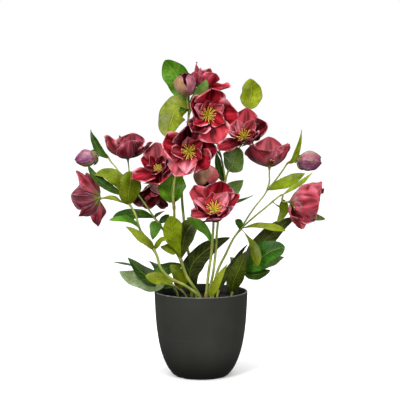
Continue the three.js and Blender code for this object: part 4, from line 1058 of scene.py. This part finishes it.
# The petals of each flower, five outer and five inner: shape, degrees round from the flower's
# right, length, width, the angles from flat at its base and tip, colour, and how pale its middle is.
BLOOMS = {
    "crown": (
        (ROUND, 85, 46, 42, 12, 84, RED, 0.1),
        (ROUND, 150, 36, 34, 15, 75, CRIMSON, 0.2),
        (ROUND, 230, 44, 32, 12, 76, MAROON, 0.3),
        (ROUND, 288, 46, 44, 5, 52, RED, 0.5),
        (ROUND, 0, 44, 40, 8, 58, RED, 0.3),
        (SMALL, 98, 26, 20, 25, 75, RED, 0.5),
        (SMALL, 30, 29, 22, 25, 62, RED, 0.7),
        (SMALL, 329, 31, 22, 20, 60, RED, 0.3),
        (SMALL, 218, 31, 22, 20, 60, RED, 0.4),
        (SMALL, 155, 28, 20, 25, 70, ROSE, 1.0),
    ),
    "heart": (
        (ROUND, 165, 42, 42, 8, 62, RED, 0.35),
        (ROUND, 95, 42, 42, 12, 74, MAROON, 0.1),
        (ROUND, 7, 44, 38, 8, 62, CRIMSON, 0.2),
        (ROUND, 322, 43, 36, 8, 66, RED, 0.3),
        (ROUND, 245, 43, 38, 6, 58, RED, 0.7),
        (SMALL, 95, 26, 18, 25, 70, ROSE, 1.1),
        (SMALL, 40, 30, 20, 25, 68, CRIMSON, 0.3),
        (SMALL, 330, 28, 20, 22, 68, CRIMSON, 0.3),
        (SMALL, 265, 38, 26, 15, 62, ROSE, 1.6),
        (SMALL, 185, 32, 22, 22, 70, CRIMSON, 0.5),
    ),
    "right_high": (
        (ROUND, 88, 43, 34, 10, 68, CORAL, 0.5),
        (ROUND, 15, 40, 34, 10, 62, MAROON, 0.1),
        (ROUND, 312, 36, 32, 15, 75, MAROON, 0.2),
        (ROUND, 220, 40, 36, -6, 26, CRIMSON, 0.1),
        (ROUND, 160, 34, 30, 12, 70, ROSE, 0.9),
        (SMALL, 120, 27, 16, 25, 70, ROSE, 0.9),
        (SMALL, 50, 30, 20, 25, 72, ROSE, 0.5),
        (SMALL, 335, 28, 22, 20, 72, CRIMSON, 0.4),
        (SMALL, 265, 24, 18, 20, 72, ROSE, 0.5),
        (SMALL, 190, 26, 18, 20, 70, ROSE, 0.9),
    ),
    "front_low": (
        (CUPPED, 154, 43, 46, 8, 68, CORAL, 0.5),
        (ROUND, 70, 43, 42, 12, 78, CRIMSON, 0.3),
        (POINTED, 22, 41, 28, 8, 58, CRIMSON, 0.1),
        (ROUND, 288, 35, 46, 8, 74, MAROON, 0.2),
        (POINTED, 206, 35, 30, 0, 40, ROSE, 0.5),
        (SMALL, 100, 26, 22, 25, 75, CORAL, 0.3),
        (SMALL, 40, 32, 24, 22, 70, ROSE, 1.0),
        (SMALL, 330, 26, 18, 20, 75, ROSE, 0.8),
        (SMALL, 255, 22, 18, 20, 75, CRIMSON, 0.4),
        (SMALL, 172, 34, 26, 15, 66, CORAL, 1.2),
    ),
    "left_mid": (
        (ROUND, 98, 36, 34, 12, 60, ROSE, 0.7),
        (ROUND, 158, 27, 22, 10, 60, CRIMSON, 0.2),
        (POINTED, 224, 45, 38, 8, 58, CRIMSON, 0.1),
        (ROUND, 285, 40, 44, 5, 66, CRIMSON, 0.1),
        (ROUND, 345, 34, 34, 15, 80, MAROON, 0.1),
        (SMALL, 60, 22, 16, 25, 75, MAROON, 0.1),
        (SMALL, 132, 22, 16, 25, 75, CRIMSON, 0.2),
        (SMALL, 204, 22, 16, 25, 75, MAROON, 0.1),
        (SMALL, 276, 22, 16, 25, 75, CRIMSON, 0.1),
        (SMALL, 348, 22, 16, 25, 75, MAROON, 0.1),
    ),
    "left_cup": (
        (ROUND, 292, 40, 42, 15, 98, DUSKY, 0.2),
        (ROUND, 68, 42, 42, 15, 92, DUSKY, 0.5),
        (CUPPED, 146, 50, 48, 4, 86, CRIMSON, 0.4),
        (POINTED, 2, 40, 19, 10, 52, MAROON, 0.1),
        (POINTED, 112, 40, 18, 20, 88, MAROON, 0.1),
        *five_alike(20, 28, 18, 35, 85, DUSKY, 0.5),
    ),
    "right_cup": (
        (POINTED, 210, 47, 46, 18, 78, RED, 0.7),
        (POINTED, 320, 49, 32, 22, 74, CRIMSON, 0.6),
        (ROUND, 92, 50, 44, 20, 98, CORAL, 0.7),
        (POINTED, 30, 44, 26, 20, 80, CRIMSON, 0.6),
        (ROUND, 150, 44, 34, 20, 86, ROSE, 0.4),
        (SMALL, 56, 28, 18, 35, 85, CORAL, 0.8),
        (SMALL, 128, 28, 18, 35, 85, CORAL, 0.8),
        (SMALL, 200, 26, 16, 35, 85, CORAL, 0.6),
        (SMALL, 272, 12, 12, 35, 60, CORAL, 0.8),
        (SMALL, 344, 28, 18, 35, 85, CORAL, 0.8),
    ),
    "far_left": (
        (POINTED, 66, 49, 30, 10, 52, CRIMSON, 0.3),
        (CUPPED, 102, 42, 36, 5, 66, CRIMSON, 0.1),
        (ROUND, 14, 40, 40, 15, 75, MAROON, 0.1),
        (POINTED, 262, 39, 28, -5, 34, CRIMSON, 0.4),
        (POINTED, 315, 38, 22, 5, 65, MAROON, 0.1),
        *five_alike(40, 24, 16, 30, 70, DUSKY, 0.1),
    ),
    "far_right": (
        (RUFFLED, 170, 54, 50, 32, 84, CORAL, 0.8),
        (RUFFLED, 108, 52, 42, 34, 86, CORAL, 0.8),
        (RUFFLED, 250, 42, 46, 2, 62, RED, 0.6),
        (RUFFLED, 55, 51, 36, 36, 92, RED, 0.3),
        (RUFFLED, 316, 46, 40, 24, 80, CORAL, 0.5),
        *five_alike(70, 32, 20, 35, 80, CORAL, 0.6),
    ),
    "top_back": (
        (POINTED, 165, 38, 20, 50, 98, CRIMSON, 0.1),
        (POINTED, 60, 36, 22, 62, 82, MAROON, 0.1),
        (CUPPED, 310, 35, 40, 8, 84, RED, 0.3),
        (TWISTED, 352, 41, 18, 8, 30, RED, 0.1),
        (ROUND, 225, 26, 22, 15, 85, CRIMSON, 0.2),
        (SMALL, 112, 34, 17, 45, 84, ROSE, 1.0),
        (SMALL, 182, 24, 15, 35, 85, ROSE, 1.0),
        (SMALL, 254, 24, 15, 35, 85, CORAL, 0.5),
        (SMALL, 326, 24, 15, 35, 85, CORAL, 0.5),
        (SMALL, 38, 24, 15, 35, 85, CORAL, 0.5),
    ),
    "nodding": (
        (BELL, 90, 36, 26, 76, 40, RED, 0),
        (BELL, 164, 42, 32, 72, 12, MAROON, 0.1),
        (BELL, 20, 42, 32, 72, 12, MAROON, 0.1),
        (BELL, 236, 38, 28, 75, 20, CRIMSON, 0.1),
        (BELL, 308, 38, 28, 75, 20, MAROON, 0.1),
        *five_alike(50, 18, 9, 54, 62, MAROON, 0.1),
    ),
}
petal_cloth = petal_finish()

for name, ring in BLOOMS.items():
    seat = seats["bloom_" + name]
    skin = Skin(under="FLOAT", pale="FLOAT", streak="FLOAT", fold="FLOAT", petal_colour="FLOAT_COLOR")
    for one in ring:
        petal(skin, seat, *one)
    disc = seat.origin + seat.axis * np.array(DISC_HEIGHTS)[:, None]
    tube(skin, disc, DISC_RADIUS * np.array(DISC_SWELL), 16, 1)
    petals = skin.piece("petals_" + name, petal_cloth, stem_green)
    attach(petals, "root")
    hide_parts("bloom_" + name + "_petals")

# ---- Stamens ----
# A tuft of thin yellow filaments, each with a small anther on its end, fanned out from one point
# on the disc. A Geometry Nodes tree places them by the golden angle.
STAMEN_COUNT = 34
STAMEN_LENGTH = 14
SHORT_TUFTS = {"left_mid": 7, "nodding": 9, "right_cup": 9}  # these sit deep in their flowers
STAMEN_RADIUS = 0.28
ANTHER_RADIUS = 0.6
HUB_THICK = 2
STAMEN_BEND = 0.14  # how far an anther leans out, as a share of the length
STAMEN_SPREAD = 1.05
GOLDEN_ANGLE = math.pi * (3 - math.sqrt(5))


def stamen_finish():
    skin = Finish("yellow_filament", Specular_IOR_Level=0.35)
    place = skin.place()
    reach = skin.mark("reach")
    specks = skin.noise(place, 900, 2)
    colour = skin.mix(skin.fade(reach, 0.1, 0.6), tint("a8ab30"), tint("f0dc44"))
    colour = skin.mix(skin.fade(reach, 0.86, 0.95), colour, tint("f0e07c"))
    colour = skin.mix(skin.fade(specks, 0.5, 0.7, 0, 0.5), colour, tint("a98a22"))
    return skin.done(Base_Color=colour, Roughness=skin.fade(specks, 0.3, 0.7, 0.5, 0.7),
                     Normal=skin.bump(specks, 0.4, 0.0003))


def stamen_tree(material):
    tuft = Growth("stamen_tuft", Count="Int", Length="Float", Radius="Float", Anther="Float",
                  Spread="Float", Seed="Int", Place="Vector", Turn="Rotation")
    spots = tuft.node("GeometryNodePoints", Count=tuft.value("Count"))
    index = tuft.node("GeometryNodeInputIndex")
    share = tuft.math("SQRT", tuft.math("DIVIDE", tuft.math("ADD", index, 0.5), tuft.value("Count")))
    wobble = tuft.node("FunctionNodeRandomValue", 1, {"data_type": "FLOAT"}, _2=-1.0, _3=1.0,
                       Seed=tuft.value("Seed"))
    azimuth = tuft.math("ADD", tuft.times(index, GOLDEN_ANGLE), tuft.times(wobble, 0.25))
    lean = tuft.math("ADD", tuft.times(share, tuft.value("Spread")), tuft.times(wobble, 0.12))
    size = tuft.math("ADD", 0.92, tuft.times(wobble, 0.16))
    length = tuft.value("Length")
    end = tuft.triple(tuft.times(length, STAMEN_BEND), 0.0, length)
    filament = tuft.node("GeometryNodeCurveQuadraticBezier", Resolution=7, Start=(0, 0, 0),
                         Middle=tuft.triple(0.0, 0.0, tuft.times(length, 0.5)), End=end)
    ring = tuft.node("GeometryNodeCurvePrimitiveCircle", Resolution=6, Radius=tuft.value("Radius"))
    rod = tuft.node("GeometryNodeCurveToMesh", Curve=filament, Fill_Caps=True, Profile_Curve=ring)
    knob = tuft.node("GeometryNodeMeshIcoSphere", Radius=tuft.value("Anther"), Subdivisions=2)
    knob = tuft.node("GeometryNodeTransform", Geometry=knob, Scale=(0.75, 0.75, 1.2), Translation=end)
    both = tuft.node("GeometryNodeJoinGeometry", Geometry=rod)
    tuft.tree.links.new(knob, both.node.inputs[0])
    rise = tuft.node("ShaderNodeSeparateXYZ", 2, Vector=tuft.node("GeometryNodeInputPosition"))
    marked = tuft.node("GeometryNodeStoreNamedAttribute",
                       settings={"data_type": "FLOAT", "domain": "POINT"},
                       Geometry=both, Name="reach", Value=tuft.math("DIVIDE", rise, length))
    fan = tuft.node("FunctionNodeEulerToRotation", Euler=tuft.triple(0.0, lean, azimuth))
    fanned = tuft.node("GeometryNodeInstanceOnPoints", Points=spots, Instance=marked, Rotation=fan,
                       Scale=tuft.triple(size, size, size))
    placed = tuft.node("GeometryNodeTransform", Geometry=fanned, Translation=tuft.value("Place"),
                       Rotation=tuft.value("Turn"))
    tuft.finish(placed, material)
    return tuft


stamens_tree = stamen_tree(stamen_finish())
for seed, name in enumerate(BLOOMS):
    seat = seats["bloom_" + name]
    base = seat.origin + seat.axis * (HUB_THICK + FIT_GAP)
    turn = Matrix((seat.x, seat.y, seat.axis)).transposed().to_euler()
    tuft = stamens_tree.grow("tuft_" + name, bpy.data.meshes.new("seed"), Count=STAMEN_COUNT,
                             Length=SHORT_TUFTS.get(name, STAMEN_LENGTH) * MM, Radius=STAMEN_RADIUS * MM,
                             Anther=ANTHER_RADIUS * MM, Spread=STAMEN_SPREAD, Seed=seed,
                             Place=Vector(base) * MM, Turn=turn)
    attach(tuft, "root")
    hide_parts("bloom_" + name + "_stamens")

# ---- Buds ----
# A bud is five petals wrapped round each other, with three small green bracts at its foot. They
# are greenish beige where the sun hasn't caught them and purple elsewhere. Two are open at the tip.
BEIGE = tint("9a7650")
KHAKI = tint("6b6034")
PURPLE = tint("74305e")
MAUVE = tint("964a62")
TAN = tint("9c6c50")
DRAB = tint("84695a")
BRACT = tint("4c5022")
BRACT_LENGTH = 15
BRACT_WIDTH = 14
BRACT_LEAN = (-5, 85)
CALYX = {"root": (1.6, 0.2), "peak": 0.5, "full": 0.7, "claw": 1.4, "cup": 0.45, "tilt": 0.1, "wave": 0.1}
WRAP = {"root": (1.2, 0.8), "peak": 0.5, "full": 0.5, "claw": 1.0, "cup": 0.42, "tilt": 0.12, "wave": 0.12,
        "fold": 0.018}

# The petals of each bud from the innermost out: degrees round from its right, length, width, the
# angles from flat at base and tip, and colour.
BUDS = {
    "bud_top": (
        (90, 39, 20, 14, 140, PURPLE), (40, 39, 21, 14, 142, MAUVE), (140, 39, 21, 14, 142, KHAKI),
        (210, 40, 25, 14, 148, BEIGE), (322, 40, 24, 14, 144, MAUVE),
    ),
    "bud_hanging": (
        (90, 41, 22, 8, 150, MAUVE), (20, 41, 22, 8, 150, MAUVE), (160, 41, 22, 8, 150, KHAKI),
        (222, 41, 26, 6, 140, ROSE), (296, 43, 27, 4, 146, TAN),
    ),
    "bud_left": (
        (110, 37, 18, 29, 148, MAUVE), (180, 37, 18, 29, 148, MAUVE), (250, 37, 18, 29, 146, KHAKI),
        (312, 37, 19, 28, 148, KHAKI), (36, 39, 23, 27, 150, PURPLE),
    ),
    "bud_right": (
        (300, 41, 20, 22, 150, PURPLE), (20, 41, 20, 22, 150, MAUVE), (178, 41, 20, 22, 150, MAUVE),
        (118, 42, 24, 20, 150, DRAB), (226, 43, 26, 20, 150, PURPLE),
    ),
}


def bud_finish():
    skin = Finish("bud_skin", Specular_IOR_Level=0.3, Subsurface_Weight=0.06, Subsurface_Scale=0.001)
    across, along = across_and_along(skin)
    side = skin.math("ABSOLUTE", across)
    own = skin.mark("petal_colour", "Color")
    under = skin.mark("under")
    place = skin.place()
    ribs = skin.noise(skin.stretch(flat_pattern(skin), (22, 1.6, 1)), 1.0, 4, 0.6)
    blots = skin.noise(place, 110, 4, 0.6)
    colour = skin.mix(skin.fade(blots, 0.42, 0.66, 0, 0.4), own, tint("a08a5c"))
    colour = skin.mix(skin.fade(ribs, 0.45, 0.65, 0, 0.55), colour, skin.deepen(own, tint("9a6a78")))
    blush = skin.times(skin.fade(along, 0.55, 1.0), skin.fade(blots, 0.35, 0.6, 0.6, 0.1))
    colour = skin.mix(blush, colour, tint("6a2448"))
    colour = skin.mix(skin.fade(along, 0.85, 1.0, 0, 0.7), colour, tint("4a1c30"))
    # A painted highlight: a pale patch low on the middle of each wrap.
    bud_highlight = skin.times(skin.fade(along, 0.15, 0.35), skin.fade(along, 0.4, 0.7, 1, 0))
    bud_highlight = skin.times(bud_highlight, skin.fade(side, 0.2, 0.8, 0.4, 0))
    bud_highlight = skin.times(bud_highlight, skin.fade(blots, 0.4, 0.55, 0.2, 0.9))
    colour = skin.mix(bud_highlight, colour, skin.mix(0.5, own, tint("f0cfdc")))
    colour = skin.mix(skin.fade(along, 0.02, 0.2, 0.9, 0), colour, tint("70703a"))
    rim = skin.times(skin.fade(side, 0.9, 1.0, 0, 0.5), skin.fade(blots, 0.45, 0.6, 0.1, 1))
    colour = skin.mix(rim, colour, tint("c990a0"))
    inside = skin.mix(skin.fade(blots, 0.4, 0.6), tint("6a1236"), tint("8c2450"))
    colour = skin.mix(under, inside, colour)
    relief = skin.math("ADD", ribs, skin.times(blots, 0.5))
    return skin.done(Base_Color=colour, Roughness=skin.fade(ribs, 0.3, 0.7, 0.42, 0.58),
                     Normal=skin.bump(relief, 0.6, 0.0006))


bud_skin = bud_finish()
for name, wraps in BUDS.items():
    seat = seats[name]
    skin = Skin(under="FLOAT", petal_colour="FLOAT_COLOR")
    for azimuth, length, width, start, end, colour in wraps:
        petal(skin, seat, WRAP, azimuth, length, width, start, end, colour, 0)
    for azimuth in (30, 150, 270):
        petal(skin, seat, CALYX, azimuth, BRACT_LENGTH, BRACT_WIDTH, *BRACT_LEAN, BRACT, 0)
    bud = skin.piece("wrapped_" + name, bud_skin)
    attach(bud, "root")
    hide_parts(name)
